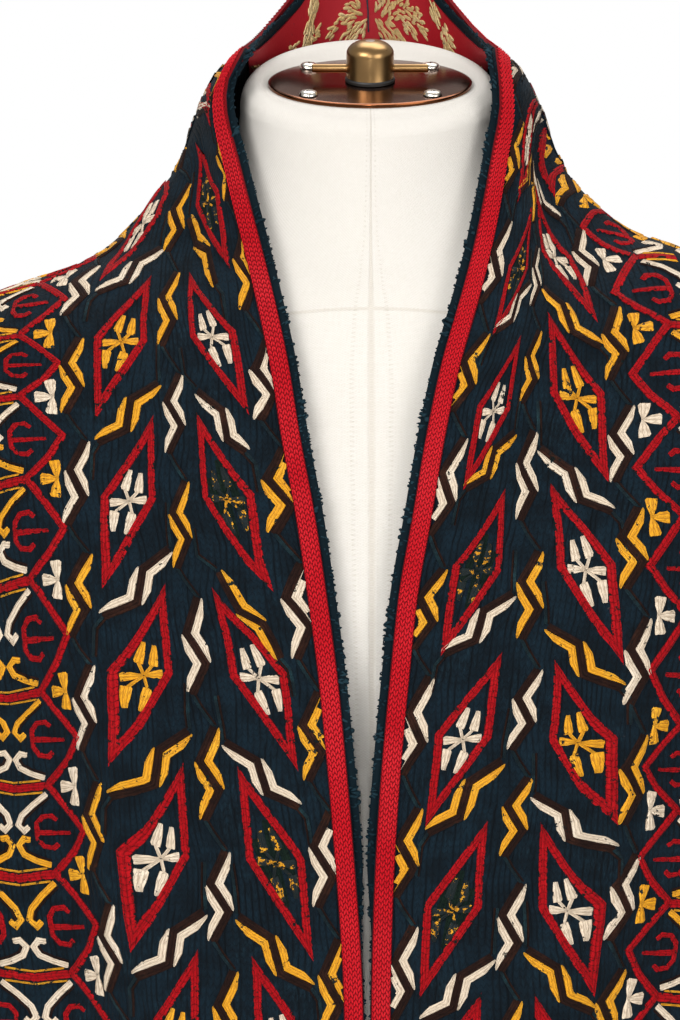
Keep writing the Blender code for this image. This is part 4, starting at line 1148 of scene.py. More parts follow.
class Paint(Nodes):
    """Builds one material around its Principled shader."""

    def __init__(self, name: str, roughness: float, **constants: float) -> None:
        """Starts a material whose constant sockets are given by name, with _ for a space."""
        self.material = bpy.data.materials.new(name)
        self.material.use_nodes = True
        super().__init__(self.material.node_tree)
        self.shader = self.tree.nodes["Principled BSDF"]
        self.shader.inputs["Roughness"].default_value = roughness
        for key, value in constants.items():
            self.shader.inputs[key.replace("_", " ")].default_value = value

    def feed(self, name: str, value: Amount | bpy.types.NodeSocket) -> None:
        """Links what varies to one of the shader's sockets."""
        socket = value.socket if isinstance(value, Amount) else value
        self.tree.links.new(socket, self.shader.inputs[name])

    def place(self) -> bpy.types.NodeSocket:
        """Object coordinates, in metres."""
        return self.out("ShaderNodeTexCoord", output="Object")

    def attribute(self, name: str) -> bpy.types.NodeSocket:
        """A vector stored on the piece's own vertices."""
        return self.out("ShaderNodeAttribute", {"attribute_name": name}, output="Vector")

    def parts(self, vector: bpy.types.NodeSocket) -> tuple[Amount, Amount, Amount]:
        """A vector's three numbers."""
        node = self.add("ShaderNodeSeparateXYZ", None, {0: vector})
        return tuple(Amount(self, output) for output in node.outputs)

    def stretched(self, vector: bpy.types.NodeSocket, scale: Colour) -> bpy.types.NodeSocket:
        """Coordinates scaled along each axis."""
        return self.out("ShaderNodeMapping", None, {"Vector": vector, "Scale": scale})

    def noise(
        self, vector: bpy.types.NodeSocket, scale: float, detail: float = 2.0, rough: float = 0.5
    ) -> Amount:
        """Smooth noise from 0 to 1, scale cells to the metre of the given coordinates."""
        values = {"Vector": vector, "Scale": scale, "Detail": detail, "Roughness": rough}
        return Amount(self, self.out("ShaderNodeTexNoise", None, values))

    def blend(
        self, share: Amount | float, one: Colour | bpy.types.NodeSocket, other: Colour
    ) -> bpy.types.NodeSocket:
        """A colour between two, by a share that varies."""
        one = one if isinstance(one, bpy.types.NodeSocket) else (*one, 1.0)
        values = {0: share, 6: one, 7: (*other, 1.0)}
        return self.out("ShaderNodeMix", {"data_type": "RGBA"}, values, 2)

    def relief(self, height: Amount, depth: float, strength: float = 1.0) -> None:
        """Feeds the normal from a height of 0 to 1 that stands for a depth in metres."""
        values = {"Height": height, "Distance": depth, "Strength": strength}
        self.feed("Normal", self.out("ShaderNodeBump", None, values, "Normal"))


@dataclass(frozen=True)
class LacedGround:
    """Navy cloth worked all over in upright rows of fine chain stitch."""

    name: str = "navy_silk"
    # deep is the painted shade in the valleys between rows and the notches between stitches, and it
    # also darkens the silk at random
    deep: Colour = (0.0009, 0.0021, 0.0034)
    silk: Colour = (0.0034, 0.0108, 0.0178)
    faded: Colour = (0.0078, 0.0208, 0.0304)
    worn: Colour = (0.10, 0.085, 0.085)
    row: float = 0.0028
    stitch: float = 0.0034

    def material(self) -> bpy.types.Material:
        """Rows from the chart, each a chain of slanting stitches, with threads that fade."""
        paint = Paint(self.name, 0.8, Specular_IOR_Level=0.09, Sheen_Weight=0.02)
        chart = paint.attribute("chart")
        wander = paint.noise(chart, 45.0, 2.0)
        across, down, _ = paint.parts(chart)
        stray = paint.noise(chart, 13.0, 1.0)
        place = (across + wander * 0.0045 + stray * 0.020) / self.row
        side = abs(place.fraction() - 0.5) * 2.0
        slope = (down / self.stitch + side * 0.55 + wander * 3.0).fraction()
        notch = abs(slope - 0.5) * 2.0
        cord = paint.noise(paint.stretched(chart, (1.0, 0.10, 1.0)), 230.0, 2.0)
        valley = side**2.6 * cord.span(0.30, 0.66)
        crest = ((1.0 - valley) * (0.62 + 0.38 * (1.0 - notch**5.0))).at_least(0.0)
        thread = paint.noise(paint.stretched(chart, (1.0, 0.22, 1.0)), 900.0, 2.0)
        cloud = paint.noise(paint.place(), 38.0, 3.0, 0.6)
        patch = paint.noise(paint.place(), 75.0, 3.0, 0.6).span(0.34, 0.64)
        # Painted shade: the colour sinks to deep where the crest is low, in the valleys between
        # rows and the notches between stitches; faded thread is laid on the crests only
        colour = paint.blend(crest * (0.35 + thread) * (0.45 + 0.75 * patch), self.deep, self.silk)
        fade = (cloud * thread).span(0.28, 0.50)
        colour = paint.blend(fade * 0.7 * crest, colour, self.faded)
        hole = paint.noise(paint.place(), 62.0, 4.0, 0.7).span(0.715, 0.76)
        mesh = paint.noise(paint.place(), 1500.0, 1.0).span(0.48, 0.62)
        paint.feed("Base Color", paint.blend(hole * mesh, colour, self.worn))
        paint.feed("Roughness", 0.70 + 0.24 * thread)
        paint.relief(crest * (1.0 - hole * 0.8) + thread * 0.30, 0.0006, 0.8)
        return paint.material


@dataclass(frozen=True)
class SilkThread:
    """Silk laid in rows of close chain stitch: notched at its edges, creased along its middle.

    worn is how much of it has gone, down to the ground beneath, and frayed how much more of it
    has gone along the edges.
    """

    name: str
    colour: Colour
    shade: Colour
    light: Colour
    rough: float = 0.5
    # notch is how strong the painted shade in the notches between stitches is
    notch: float = 0.75
    worn: float = 0.0
    frayed: float = 0.06
    gloss: float = 0.22
    stitch: float = 0.0030
    bare: Colour = (0.0022, 0.0075, 0.0080)

    def material(self) -> bpy.types.Material:
        """Reads how far across and how far along its line each point lies."""
        paint = Paint(self.name, self.rough, Specular_IOR_Level=self.gloss, Sheen_Weight=0.02)
        stitch, place = paint.attribute("stitch"), paint.place()
        across, along, _ = paint.parts(stitch)
        side = abs(across)
        sway = paint.noise(place, 160.0, 2.0)
        slope = (along / self.stitch + side * 0.35 + sway * 1.2).fraction()
        gap = abs(slope - 0.5).span(0.40, 0.5) * self.notch
        groove = 1.0 - side.span(0.0, 0.22)
        fibre = paint.noise(paint.stretched(place, (1.0, 1.0, 0.35)), 1500.0, 2.0, 0.6)
        cloud = paint.noise(place, 95.0, 3.0, 0.6)
        strand = paint.noise(paint.stretched(stitch, (0.0022, 0.16, 1.0)), 1500.0, 2.0, 0.6)
        lines = abs((across * 1.45 + strand * 0.9 + sway * 0.5).fraction() - 0.5)
        fold = strand.span(0.50, 0.72).at_least(lines.span(0.33, 0.47))
        colour = paint.blend(cloud.span(0.45, 0.8) * 0.7, self.colour, self.light)
        # Painted shade: the shade colour goes into the notches between stitches, the crease down
        # the middle, along the edges and into the lines between strands
        dark = gap * (0.35 + side * 0.65) + groove * 0.22 + side.span(0.78, 1.0) * 0.6 + fold * 0.6
        colour = paint.blend(dark.at_most(1.0) * (0.5 + fibre), colour, self.shade)
        tear = paint.noise(place, 330.0, 3.0, 0.7) + cloud * 0.35
        tear = tear + side.span(0.45, 1.0) * self.frayed
        lost = tear.span(0.86 - self.worn * 0.45, 0.90 - self.worn * 0.45)
        paint.feed("Base Color", paint.blend(lost, colour, self.bare))
        paint.feed("Roughness", self.rough + 0.22 * fibre)
        crest = 1.0 - gap * 0.5 - groove * 0.5 + fibre * 0.25 - fold * 0.6
        paint.relief(crest - lost, 0.00050, 0.8)
        return paint.material


@dataclass(frozen=True)
class WoolBraid:
    """Yarn of the looped braid or of the edging: fuzzy, with painted shade between and under the
    loops.
    """

    name: str
    colour: Colour
    shade: Colour
    light: Colour
    gloss: float = 0.2

    def material(self) -> bpy.types.Material:
        """Yarn with twisted strands along each loop."""
        paint = Paint(self.name, 0.72, Specular_IOR_Level=self.gloss, Sheen_Weight=0.01)
        stitch, place = paint.attribute("stitch"), paint.place()
        across, along, _ = paint.parts(stitch)
        twist = (along * 2400.0 + across * 2.5).sine() * 0.5 + 0.5
        cloud = paint.noise(place, 150.0, 3.0, 0.6)
        patch = paint.noise(place, 22.0, 2.0)
        colour = paint.blend(patch.span(0.3, 0.75), self.colour, self.light)
        # Painted shade: the leaves' edges and the foot of each loop take the shade colour; a piece
        # with no stitch places reads along as 0 and takes it all over
        edge = abs(across).span(0.25, 0.95) * 0.85
        hole = (1.0 - along.span(0.0003, 0.0013)) * 0.92
        dark = edge.at_least(hole).at_least(cloud.span(0.5, 0.85) * 0.45)
        colour = paint.blend(dark, colour, self.shade)
        paint.feed("Base Color", colour)
        paint.feed("Roughness", 0.62 + 0.25 * cloud)
        paint.relief(twist * 0.5 + cloud * 0.6, 0.00025, 0.8)
        return paint.material


@dataclass(frozen=True)
class Linen:
    """Off-white plain weave with slubs, drawn over the form."""

    name: str = "linen"
    colour: Colour = (0.70, 0.672, 0.628)
    shade: Colour = (0.55, 0.50, 0.43)
    thread: float = 0.00062
    seam_height: float = 1.3690

    def material(self) -> bpy.types.Material:
        """Warp and weft over and under each other, from the form's chart."""
        paint = Paint(self.name, 0.86, Specular_IOR_Level=0.25)
        chart = paint.attribute("chart")
        slub = paint.noise(paint.stretched(chart, (1.0, 9.0, 1.0)), 130.0, 2.0)
        slub_up = paint.noise(paint.stretched(chart, (9.0, 1.0, 1.0)), 130.0, 2.0)
        across, down, _ = paint.parts(chart)
        turn = math.pi / self.thread
        warp = (across * turn + slub_up * 1.6).sine()
        weft = (down * turn + slub * 1.6).sine()
        weave = warp * weft * 0.5 + 0.5
        x, _, z = paint.parts(paint.place())
        sag = z + x * x * 1.6 - self.seam_height
        joined = across.at_most(abs(sag))
        seam = 1.0 - joined.span(0.0003, 0.0011)
        beside_seam = 1.0 - abs(across - 0.0042).span(0.0002, 0.0007)
        prick = (down / 0.0024).fraction().span(0.55, 0.85) * beside_seam
        cloud = paint.noise(paint.place(), 14.0, 3.0)
        # Painted shade where the threads dip under each other (1 - weave); the slubs, the seam's
        # line and the prick stitches darken it too
        shade = (1.0 - weave) * 0.34 + slub * slub_up * 0.50 + seam * 0.40 + prick * 0.30
        colour = paint.blend(shade.at_most(1.0), self.colour, self.shade)
        paint.feed("Base Color", paint.blend(cloud.span(0.4, 0.8) * 0.10, colour, self.shade))
        paint.feed("Roughness", 0.78 + 0.16 * slub)
        paint.relief(weave * 0.7 + slub * 0.6 + slub_up * 0.5 - seam * 1.6 - prick, 0.00022, 0.8)
        return paint.material


@dataclass(frozen=True)
class OldMetal:
    """Polished metal with fine brushing, stains and a warm or cold cast."""

    name: str
    colour: Colour
    stain: Colour
    rough: float
    brushed: Colour = (1.0, 1.0, 1.0)
    stained: float = 0.5
    recess: bool = False
    depth: float = 0.5

    def material(self) -> bpy.types.Material:
        """Brush lines run the way the coordinates are stretched. A recess is a screw's cross, with
        painted shade in it.
        """
        paint = Paint(self.name, self.rough, Metallic=1.0)
        place = paint.place()
        brush = paint.noise(paint.stretched(place, self.brushed), 700.0, 3.0, 0.6)
        cloud = paint.noise(place, 60.0, 4.0, 0.6)
        share = cloud.span(0.42, 0.75) * self.stained
        colour = paint.blend(share + brush * 0.12, self.colour, self.stain)
        relief = brush * 0.5 + cloud * 0.5
        if self.recess:
            x, y, _ = paint.parts(paint.attribute("chart"))
            x, y = abs(x), abs(y)
            cut = 1.0 - x.at_most(y).span(0.00028, 0.00050)
            cut = cut * (1.0 - x.at_least(y).span(0.0016, 0.0020))
            # Painted shade in the cross recess, which is only a bump and no hole
            colour = paint.blend(cut * 0.9, colour, (0.02, 0.016, 0.012))
            relief = relief - cut * 6.0
        paint.feed("Base Color", colour)
        paint.feed("Roughness", self.rough + brush * 0.10 + cloud * 0.12)
        paint.relief(relief, 0.00005, self.depth)
        return paint.material


class Thread(Enum):
    """The silks of the embroidery, in the order of a piece's material slots."""

    IVORY = 0
    YELLOW = 1
    RED = 2
    BROWN = 3
    GREEN = 4
    NAVY = 5
    FLECKED = 6


Corner = tuple[float, float]


@dataclass(frozen=True)
class Stroke:
    """A line of stitching on the chart, in millimetres across and down.

    It may flare from width to end_width, and height is how far it stands above the cloth. The
    points of a pointed one lean to the left of its run where lean is 1, to the right where -1.
    """

    thread: Thread
    width: float
    corners: tuple[Corner, ...]
    closed: bool = False
    end_width: float = 0.0
    height: float = 0.9
    pointed: bool = False
    lean: float = 0.0

    def moved(self, across: float, down: float, handed: int = 1) -> Stroke:
        """The stroke elsewhere on the chart, mirrored first if handed is -1."""
        corners = tuple((handed * x + across, y + down) for x, y in self.corners)
        return replace(self, corners=corners)


def run_and_left(points: np.ndarray) -> tuple[np.ndarray, np.ndarray]:
    """The direction of each piece of a line, and the direction to its left."""
    run = unit(np.diff(points, axis=0))
    return run, np.stack([-run[:, 1], run[:, 0]], axis=1)


def mitred(before: np.ndarray, after: np.ndarray, least: float) -> np.ndarray:
    """How a line's corners move when it is set off by one, no further than least allows."""
    both = before + after
    return both / np.maximum((both * after).sum(axis=1, keepdims=True), least)


def beside(corners: tuple[Corner, ...], distance: float) -> tuple[Corner, ...]:
    """A line parallel to another, to the left of its run where distance is positive."""
    points = np.array(corners, float)
    _, left = run_and_left(points)
    offset = np.concatenate([left[:1], mitred(left[:-1], left[1:], 0.35), left[-1:]])
    return tuple(map(tuple, points + distance * offset))


def bend_side(corners: tuple[Corner, ...]) -> float:
    """1 where a line of three points bends to its left, -1 to its right."""
    (ax, ay), (bx, by), (cx, cy) = corners
    return 1.0 if (bx - ax) * (cy - by) - (by - ay) * (cx - bx) > 0 else -1.0


def shortened(corners: tuple[Corner, ...], start: float, end: float) -> tuple[Corner, ...]:
    """A line cut back by a length at each of its ends."""
    points = np.array(corners, float)
    first, last = unit(points[1] - points[0]), unit(points[-2] - points[-1])
    points[0] += first * start
    points[-1] += last * end
    return tuple(map(tuple, points))


class Motif(Enum):
    """What the columns of the embroidery repeat."""

    ZIGZAG = "zigzag"
    LEAF = "leaf"
    FRESH = "fresh"
    SLANT = "slant"
    STEEP = "steep"
    UPPER = "upper"
    NARROW = "narrow"
    TREFOIL = "trefoil"
    TOOTH = "tooth"


class Share(Enum):
    """The pieces into which a cloth's embroidery is divided, as their names say it."""

    ZIGZAG = "zigzag"
    TREE = "tree"
    BORDER = "border"


SLANTS: dict[Motif, tuple[Corner, ...]] = {
    Motif.SLANT: ((8.0, 0.0), (22.3, 8.8), (25.6, 24.0), (39.5, 30.5)),
    Motif.STEEP: ((18.0, 0.0), (24.0, 19.0), (33.0, 25.5), (38.0, 42.0)),
    Motif.UPPER: ((8.6, 0.0), (14.7, 12.6), (26.4, 18.4), (32.0, 36.0)),
    Motif.NARROW: ((15.0, 0.0), (28.0, 8.9), (29.6, 23.0), (38.0, 29.0)),
}
ZIGZAG_LENGTH, LEAF_LENGTH, TOOTH_LENGTH = 57.0, 82.0, 46.5


@dataclass(frozen=True)
class Motifs:
    """The motifs, drawn on the chart about their own places, in millimetres."""

    line: float = 4.3
    stem: float = 4.1
    chevron: float = 3.9
    thin: float = 1.8
    hair: float = 1.0
    flower_at: Corner = (26.3, 41.0)

    def forked(self, path: tuple[Corner, ...], silk: Thread, tail: tuple[Corner, ...]) -> list:
        """A brown zigzag of three strokes with a bright chevron inside each of its two bends.

        Args:
            path: the four corners of the brown line.
            silk: the chevrons' thread.
            tail: the thin dark line that runs on to the next motif.

        Returns:
            The strokes.
        """
        strokes = [Stroke(Thread.BROWN, self.stem, path, height=0.95)]
        for corners in (path[:3], path[1:]):
            side = bend_side(corners)
            line = beside(corners, (self.stem + self.chevron) / 2 * side * 0.90)
            line = shortened(line, -0.6, -0.6)
            strokes.append(Stroke(silk, self.chevron, line, pointed=True, lean=-side))
        strokes.append(Stroke(Thread.NAVY, self.thin, tail, height=0.75))
        strokes.append(Stroke(Thread.BROWN, self.hair, beside(tail, 1.3), height=0.75))
        return strokes

    def zigzag(self, silk: Thread) -> list[Stroke]:
        """One unit of the upright zigzag, centred on its own line."""
        path = ((-4.2, 0.0), (4.0, 15.5), (-3.6, 29.0), (4.2, 43.0))
        return self.forked(path, silk, ((4.2, 43.0), (1.0, 49.0), (-4.2, ZIGZAG_LENGTH)))

    def leaf(self, silk: Thread, worn: bool) -> list[Stroke]:
        """A drooping lozenge to one side of a stem, with its flower."""
        corners = ((14.2, 5.0), (37.6, 39.0), (38.4, 76.5), (14.8, 39.5))
        strokes = [Stroke(Thread.RED, self.line, corners, closed=True, height=0.95)]
        if worn:
            for shift in (-5.4, 0.0, 5.4):
                reach = 19.0 - 1.6 * abs(shift)
                x, y = self.flower_at[0] + shift, self.flower_at[1]
                row = ((x - 3.0, y - reach), (x + 3.0, y + reach))
                strokes.append(Stroke(Thread.GREEN, 5.2, row, height=0.25))
        flower = Thread.FLECKED if worn else silk
        return strokes + [s.moved(*self.flower_at) for s in self.flower(flower)]

    def flower(self, silk: Thread) -> list[Stroke]:
        """Two flared arms, with two petals above and two below on thin necks."""
        strokes = []
        for turn, reach in ((4.0, 9.1), (184.0, 8.7)):
            c, s = math.cos(math.radians(turn)), math.sin(math.radians(turn))
            arm = ((0.7 * c, 0.7 * s), (reach * c, reach * s))
            strokes.append(Stroke(silk, 1.9, arm, end_width=4.8))
        petals = (((-1.4, -15.4), (2.0, -5.6)), ((-6.2, -13.8), (-4.6, -4.2)))
        petals += (((8.2, 14.8), (7.0, 4.8)), ((2.6, 16.4), (-1.4, 6.0)))
        for tip, foot in petals:
            neck = ((foot[0] * 0.05, foot[1] * 0.05), (foot[0], foot[1] * 1.15))
            strokes.append(Stroke(silk, 2.6, (tip, foot), end_width=4.9))
            strokes.append(Stroke(silk, 1.7, neck, height=0.85))
        return strokes

    def slant(self, silk: Thread, run: Motif) -> list[Stroke]:
        """The oblique forked stroke between two leaves, from beside the stem outwards."""
        path = SLANTS[run]
        end = path[-1]
        tail = (end, (end[0] + 3.5, end[1] + 5.0), (end[0] + 4.5, end[1] + 18.0))
        strokes = self.forked(path, silk, tail)
        lead = ((path[0][0] - 1.0, -1.0), (7.0, -8.0), (6.0, -22.0))
        strokes.append(Stroke(Thread.BROWN, self.hair, beside(lead, 1.3), height=0.75))
        return [*strokes, Stroke(Thread.NAVY, self.thin, lead, height=0.75)]

    def trefoil(self, silk: Thread) -> list[Stroke]:
        """Three flared petals: up, down and away from the opening."""
        petals = (((0.0, 0.4), (1.2, -8.8)), ((0.0, -0.4), (1.0, 9.0)), ((-0.6, 0.0), (8.8, 0.4)))
        return [Stroke(silk, 1.7, petal, end_width=6.6) for petal in petals]

    def tooth(self, silk: Thread) -> list[Stroke]:
        """One tooth of the scarlet border with its bar, its hooks and its comb."""
        red, line = Thread.RED, self.line
        edge = ((20.0, 0.0), (10.8, 10.6), (0.3, 23.0), (8.0, 34.5), (20.0, TOOTH_LENGTH))
        bar = ((20.5, 0.5), (38.6, 2.6))
        strokes = [Stroke(red, line, edge, height=0.95), Stroke(red, 4.6, bar, height=1.0)]
        for side in (-3.1, 3.1):
            outline = shortened(beside(bar, side), 3.0, 0.0)
            strokes.append(Stroke(Thread.YELLOW, 1.1, outline, height=0.8))
        upper = ((21.5, -3.6), (28.5, -5.6), (34.5, -8.4), (36.8, -12.6), (34.0, -15.8))
        upper += ((30.5, -15.2),)
        lower = ((21.0, 4.6), (28.5, 10.6), (34.5, 16.6), (36.4, 21.6), (33.4, 24.8), (30.6, 22.4))
        for hook, side in ((upper, -1.0), (lower, 1.0)):
            strokes.append(Stroke(silk, 3.4, hook))
            edge_line = beside(hook[:4], 2.3 * side)
            strokes.append(Stroke(Thread.BROWN, 1.2, edge_line, height=0.7))
        for side in (-1.0, 1.0):
            bend = ((19.4, 4.4), (16.6, 8.0), (11.6, 8.6), (9.0, 6.4))
            claw = ((19.6, 0.6), *((x, y * side) for x, y in bend))
            strokes.append(Stroke(red, 2.9, claw).moved(7.0, 24.5))
        prong = ((1.6, 0.0), (10.0, 0.4), (20.8, 0.6))
        return [*strokes, Stroke(red, 2.2, prong, end_width=3.4).moved(7.0, 24.5)]


@dataclass(frozen=True)
class Placing:
    """Where one motif goes on a chart, in millimetres, and how it is stretched or mirrored."""

    motif: str
    across: float
    down: float
    stretch: float = 1.0
    handed: int = 1
    turn: float = 0.0
    size: float = 1.0


# Across a ribbon: the share of its half width, a height in millimetres, a share of its own height.
RIM, SHOULDER, CREASE = (-0.3, 0.0), (0.0, 1.0), (0.0, 0.68)
FULL_SHAPE = ((-1.0, *RIM), (-0.6, *SHOULDER), (0.0, *CREASE), (0.6, *SHOULDER), (1.0, *RIM))
PLAIN_SHAPE = ((-1.0, *RIM), (0.0, *SHOULDER), (1.0, *RIM))


def ribbon(
    stroke: Stroke, plain: bool = False, step: float = 5.0
) -> tuple[np.ndarray, np.ndarray, np.ndarray]:
    """A stroke as a raised ribbon, lowest along its edges, in metres.

    Args:
        stroke: the stroke.
        plain: whether it has one ridge and longer pieces, for the sides away from the photograph.
        step: the longest piece it is divided into, in millimetres.

    Returns:
        Its vertices, its quads, and for each vertex the place across and along it.
    """
    corners = np.array(stroke.corners, float)
    if stroke.end_width:
        step = 4.5 if plain else 2.8
    if stroke.closed:
        corners = np.concatenate([corners, corners[:1]])
    run, left = run_and_left(corners)
    before, after = left[:-1], left[1:]
    if stroke.closed:
        before, after = np.concatenate([left[-1:], before]), left
    mitre = mitred(before, after, 0.13)
    lengths = np.linalg.norm(np.diff(corners, axis=0), axis=1)
    half_most = max(stroke.width, stroke.end_width) / 2
    cosine = (before * after).sum(axis=1)
    reach = half_most * np.sqrt(np.maximum(1 - cosine, 0) / np.maximum(1 + cosine, 0.04))
    reach = np.append(reach, reach[0]) if stroke.closed else np.concatenate([[0], reach, [0]])
    centre, offset, along = [], [], []
    travelled = 0.0
    for number, length in enumerate(lengths):
        ends = reach[number : number + 2] + min(1.0, length / 4)
        inner = length - ends.sum()
        places = [0.0]
        if inner > 0:
            places += list(np.linspace(ends[0], length - ends[1], max(2, math.ceil(inner / step))))
        for place in places:
            share = place / length
            centre.append(corners[number] + (corners[number + 1] - corners[number]) * share)
            joint = number if stroke.closed else number - 1
            at_corner = share == 0 and joint >= 0
            offset.append(mitre[joint] if at_corner else left[number])
            along.append(travelled + place)
        travelled += length
    centre.append(corners[-1])
    offset.append(mitre[0] if stroke.closed else left[-1])
    along.append(travelled)
    centre, offset, along = np.array(centre), np.array(offset), np.array(along)
    end_width = stroke.end_width or stroke.width
    flare = smooth_step(along / travelled * 1.5 - 0.1)
    half = (stroke.width + (end_width - stroke.width) * flare) / 2
    height = np.full(len(centre), stroke.height)
    if stroke.pointed:
        nearer = np.minimum(along, travelled - along) / travelled
        narrow = half * (0.14 + 0.86 * smooth_step(np.sqrt(nearer / 0.26)))
        centre = centre + offset * ((half - narrow) * stroke.lean * 0.9)[:, None]
        half = narrow
    if not stroke.closed:
        height[[0, -1]] = -0.2
        centre[0] -= run[0] * 0.3
        centre[-1] += run[-1] * 0.3
    shape = PLAIN_SHAPE if plain else FULL_SHAPE
    rows = []
    for place, low, high in shape:
        flat = centre + offset * (half * place)[:, None]
        rows.append(np.column_stack([flat, low + high * height]))
    vertices = np.stack(rows, axis=1).reshape(-1, 3) * 0.001
    places = np.array([place for place, _, _ in shape])
    stitch = np.stack(np.broadcast_arrays(places[None], along[:, None] * 0.001), axis=-1)
    return vertices, grid_faces(len(centre), len(shape)), stitch.reshape(-1, 2)


class MotifBook:
    """The motifs as flat meshes on the chart plane, kept in one collection for instancing."""

    def __init__(self, name: str, plain: bool = False) -> None:
        """Starts an empty book, of plain ribbons or of full ones."""
        self.plain = plain
        self.collection = bpy.data.collections.new(name)
        self.numbers: dict[str, int] = {}

    def write(self, key: str, strokes: list[Stroke]) -> None:
        """Adds a motif that is made of strokes."""
        parts, faces, stitches, threads, start = [], [], [], [], 0
        for stroke in strokes:
            vertices, quads, stitch = ribbon(stroke, self.plain)
            parts.append(vertices)
            faces.append(quads + start)
            stitches.append(stitch)
            threads += [stroke.thread.value] * len(vertices)
            start += len(vertices)
        mesh = [np.concatenate(values) for values in (parts, faces, stitches)]
        self.keep(key, *mesh, np.array(threads))

    def keep(
        self,
        key: str,
        vertices: np.ndarray,
        faces: np.ndarray,
        stitch: np.ndarray,
        thread: np.ndarray,
    ) -> None:
        """Adds a motif as a mesh with its stitch places and its thread on each vertex."""
        number = len(self.numbers)
        obj = mesh_object(f"{self.collection.name}_{number:02d}", vertices, faces)
        paint_attribute(obj, "stitch", stitch)
        obj.data.attributes.new("thread", "INT", "POINT").data.foreach_set("value", thread)
        bpy.context.scene.collection.objects.unlink(obj)
        self.collection.objects.link(obj)
        self.numbers[key] = number

    def close(self) -> None:
        """Removes the motifs once all is sewn."""
        for obj in list(self.collection.objects):
            bpy.data.objects.remove(obj)
        bpy.data.collections.remove(self.collection)


class Sewing:
    """The Geometry Nodes tree that sets motifs on a chart and lays them down on its cloth."""

    INPUTS = (
        ("Geometry", "NodeSocketGeometry"),
        ("Cloth", "NodeSocketObject"),
        ("Motifs", "NodeSocketCollection"),
        ("Wander", "NodeSocketFloat"),
        ("Seed", "NodeSocketFloat"),
    )
    WANDER_SCALE = 28.0

    def __init__(self, materials: list[bpy.types.Material]) -> None:
        """Builds the tree for a piece whose threads have these materials."""
        self.tree = bpy.data.node_groups.new("sew down", "GeometryNodeTree")
        self.materials = materials
        self.sockets = {}
        for name, kind in self.INPUTS:
            item = self.tree.interface.new_socket(name, in_out="INPUT", socket_type=kind)
            self.sockets[name] = item.identifier
        self.tree.interface.new_socket(
            "Geometry", in_out="OUTPUT", socket_type="NodeSocketGeometry"
        )
        self.wire(Nodes(self.tree))

    def named(self, nodes: Nodes, name: str, kind: str) -> bpy.types.NodeSocket:
        """A named attribute of the points or of the cloth."""
        node = nodes.add("GeometryNodeInputNamedAttribute", {"data_type": kind}, {"Name": name})
        return next(output for output in node.outputs if output.enabled and output.name != "Exists")

    def on_cloth(
        self, nodes: Nodes, cloth: bpy.types.NodeSocket, value: bpy.types.NodeSocket
    ) -> bpy.types.Node:
        """Reads a value of the cloth where its chart has the point's own place."""
        chart = self.named(nodes, "chart", "FLOAT_VECTOR")
        place = nodes.out("GeometryNodeInputPosition")
        values = {"Mesh": cloth, "Value": value, "UV Map": chart, "Sample UV": place}
        return nodes.add("GeometryNodeSampleUVSurface", {"data_type": "FLOAT_VECTOR"}, values)

    def wire(self, nodes: Nodes) -> None:
        """Lays out the tree's nodes."""
        out = nodes.out
        group = nodes.add("NodeGroupInput").outputs
        mesh = out("GeometryNodeObjectInfo", None, {"Object": group["Cloth"]}, "Geometry")
        children = {"Separate Children": True, "Reset Children": True}
        children["Collection"] = group["Motifs"]
        turn = out("ShaderNodeCombineXYZ", None, {"Z": self.named(nodes, "turn", "FLOAT")})
        placing = {
            "Points": group["Geometry"],
            "Instance": out("GeometryNodeCollectionInfo", None, children),
            "Pick Instance": True,
            "Instance Index": self.named(nodes, "motif", "INT"),
            "Rotation": out("FunctionNodeEulerToRotation", None, {0: turn}),
            "Scale": self.named(nodes, "facing", "FLOAT_VECTOR"),
        }
        placed = out("GeometryNodeInstanceOnPoints", None, placing)
        flat = out("GeometryNodeRealizeInstances", None, {0: placed})
        wavy = {"W": group["Seed"], "Scale": self.WANDER_SCALE, "Detail": 1.0}
        noise = out("ShaderNodeTexNoise", {"noise_dimensions": "4D"}, wavy, "Color")
        sway = nodes.vectors("SUBTRACT", noise, (0.5, 0.5, 0.5))
        sway = nodes.vectors("SCALE", sway, group["Wander"])
        sway = nodes.vectors("MULTIPLY", sway, (1.0, 1.0, 0.0))
        swayed = out("GeometryNodeSetPosition", None, {"Geometry": flat, "Offset": sway})

        position = out("GeometryNodeInputPosition")
        ground = self.on_cloth(nodes, mesh, position).outputs
        normal = self.on_cloth(nodes, mesh, self.named(nodes, "out", "FLOAT_VECTOR")).outputs[0]
        missing = out("FunctionNodeBooleanMath", {"operation": "NOT"}, {0: ground["Is Valid"]})
        beyond = {"Geometry": swayed, "Selection": missing}
        kept = out("GeometryNodeDeleteGeometry", {"domain": "POINT"}, beyond)
        stored = {"Geometry": kept, "Name": "out", "Value": normal}
        kept = out("GeometryNodeStoreNamedAttribute", {"data_type": "FLOAT_VECTOR"}, stored)
        height = out("ShaderNodeSeparateXYZ", None, {0: position}, "Z")
        target = nodes.vectors("ADD", ground[0], nodes.vectors("SCALE", normal, height))
        laid = out("GeometryNodeSetPosition", None, {"Geometry": kept, "Position": target})

        stored_normal = self.named(nodes, "out", "FLOAT_VECTOR")
        facing = nodes.vectors("DOT_PRODUCT", out("GeometryNodeInputNormal"), stored_normal)
        below = {"data_type": "FLOAT", "operation": "LESS_THAN"}
        inward = out("FunctionNodeCompare", below, {0: facing, 1: 0.0})
        sewn = out("GeometryNodeFlipFaces", None, {"Mesh": laid, "Selection": inward})
        thread = self.named(nodes, "thread", "INT")
        same = {"data_type": "INT", "operation": "EQUAL"}
        for number, material in enumerate(self.materials):
            chosen = out("FunctionNodeCompare", same, {2: thread, 3: number})
            values = {"Geometry": sewn, "Selection": chosen, "Material": material}
            sewn = out("GeometryNodeSetMaterial", None, values)
        nodes.add("NodeGroupOutput", None, {0: sewn})

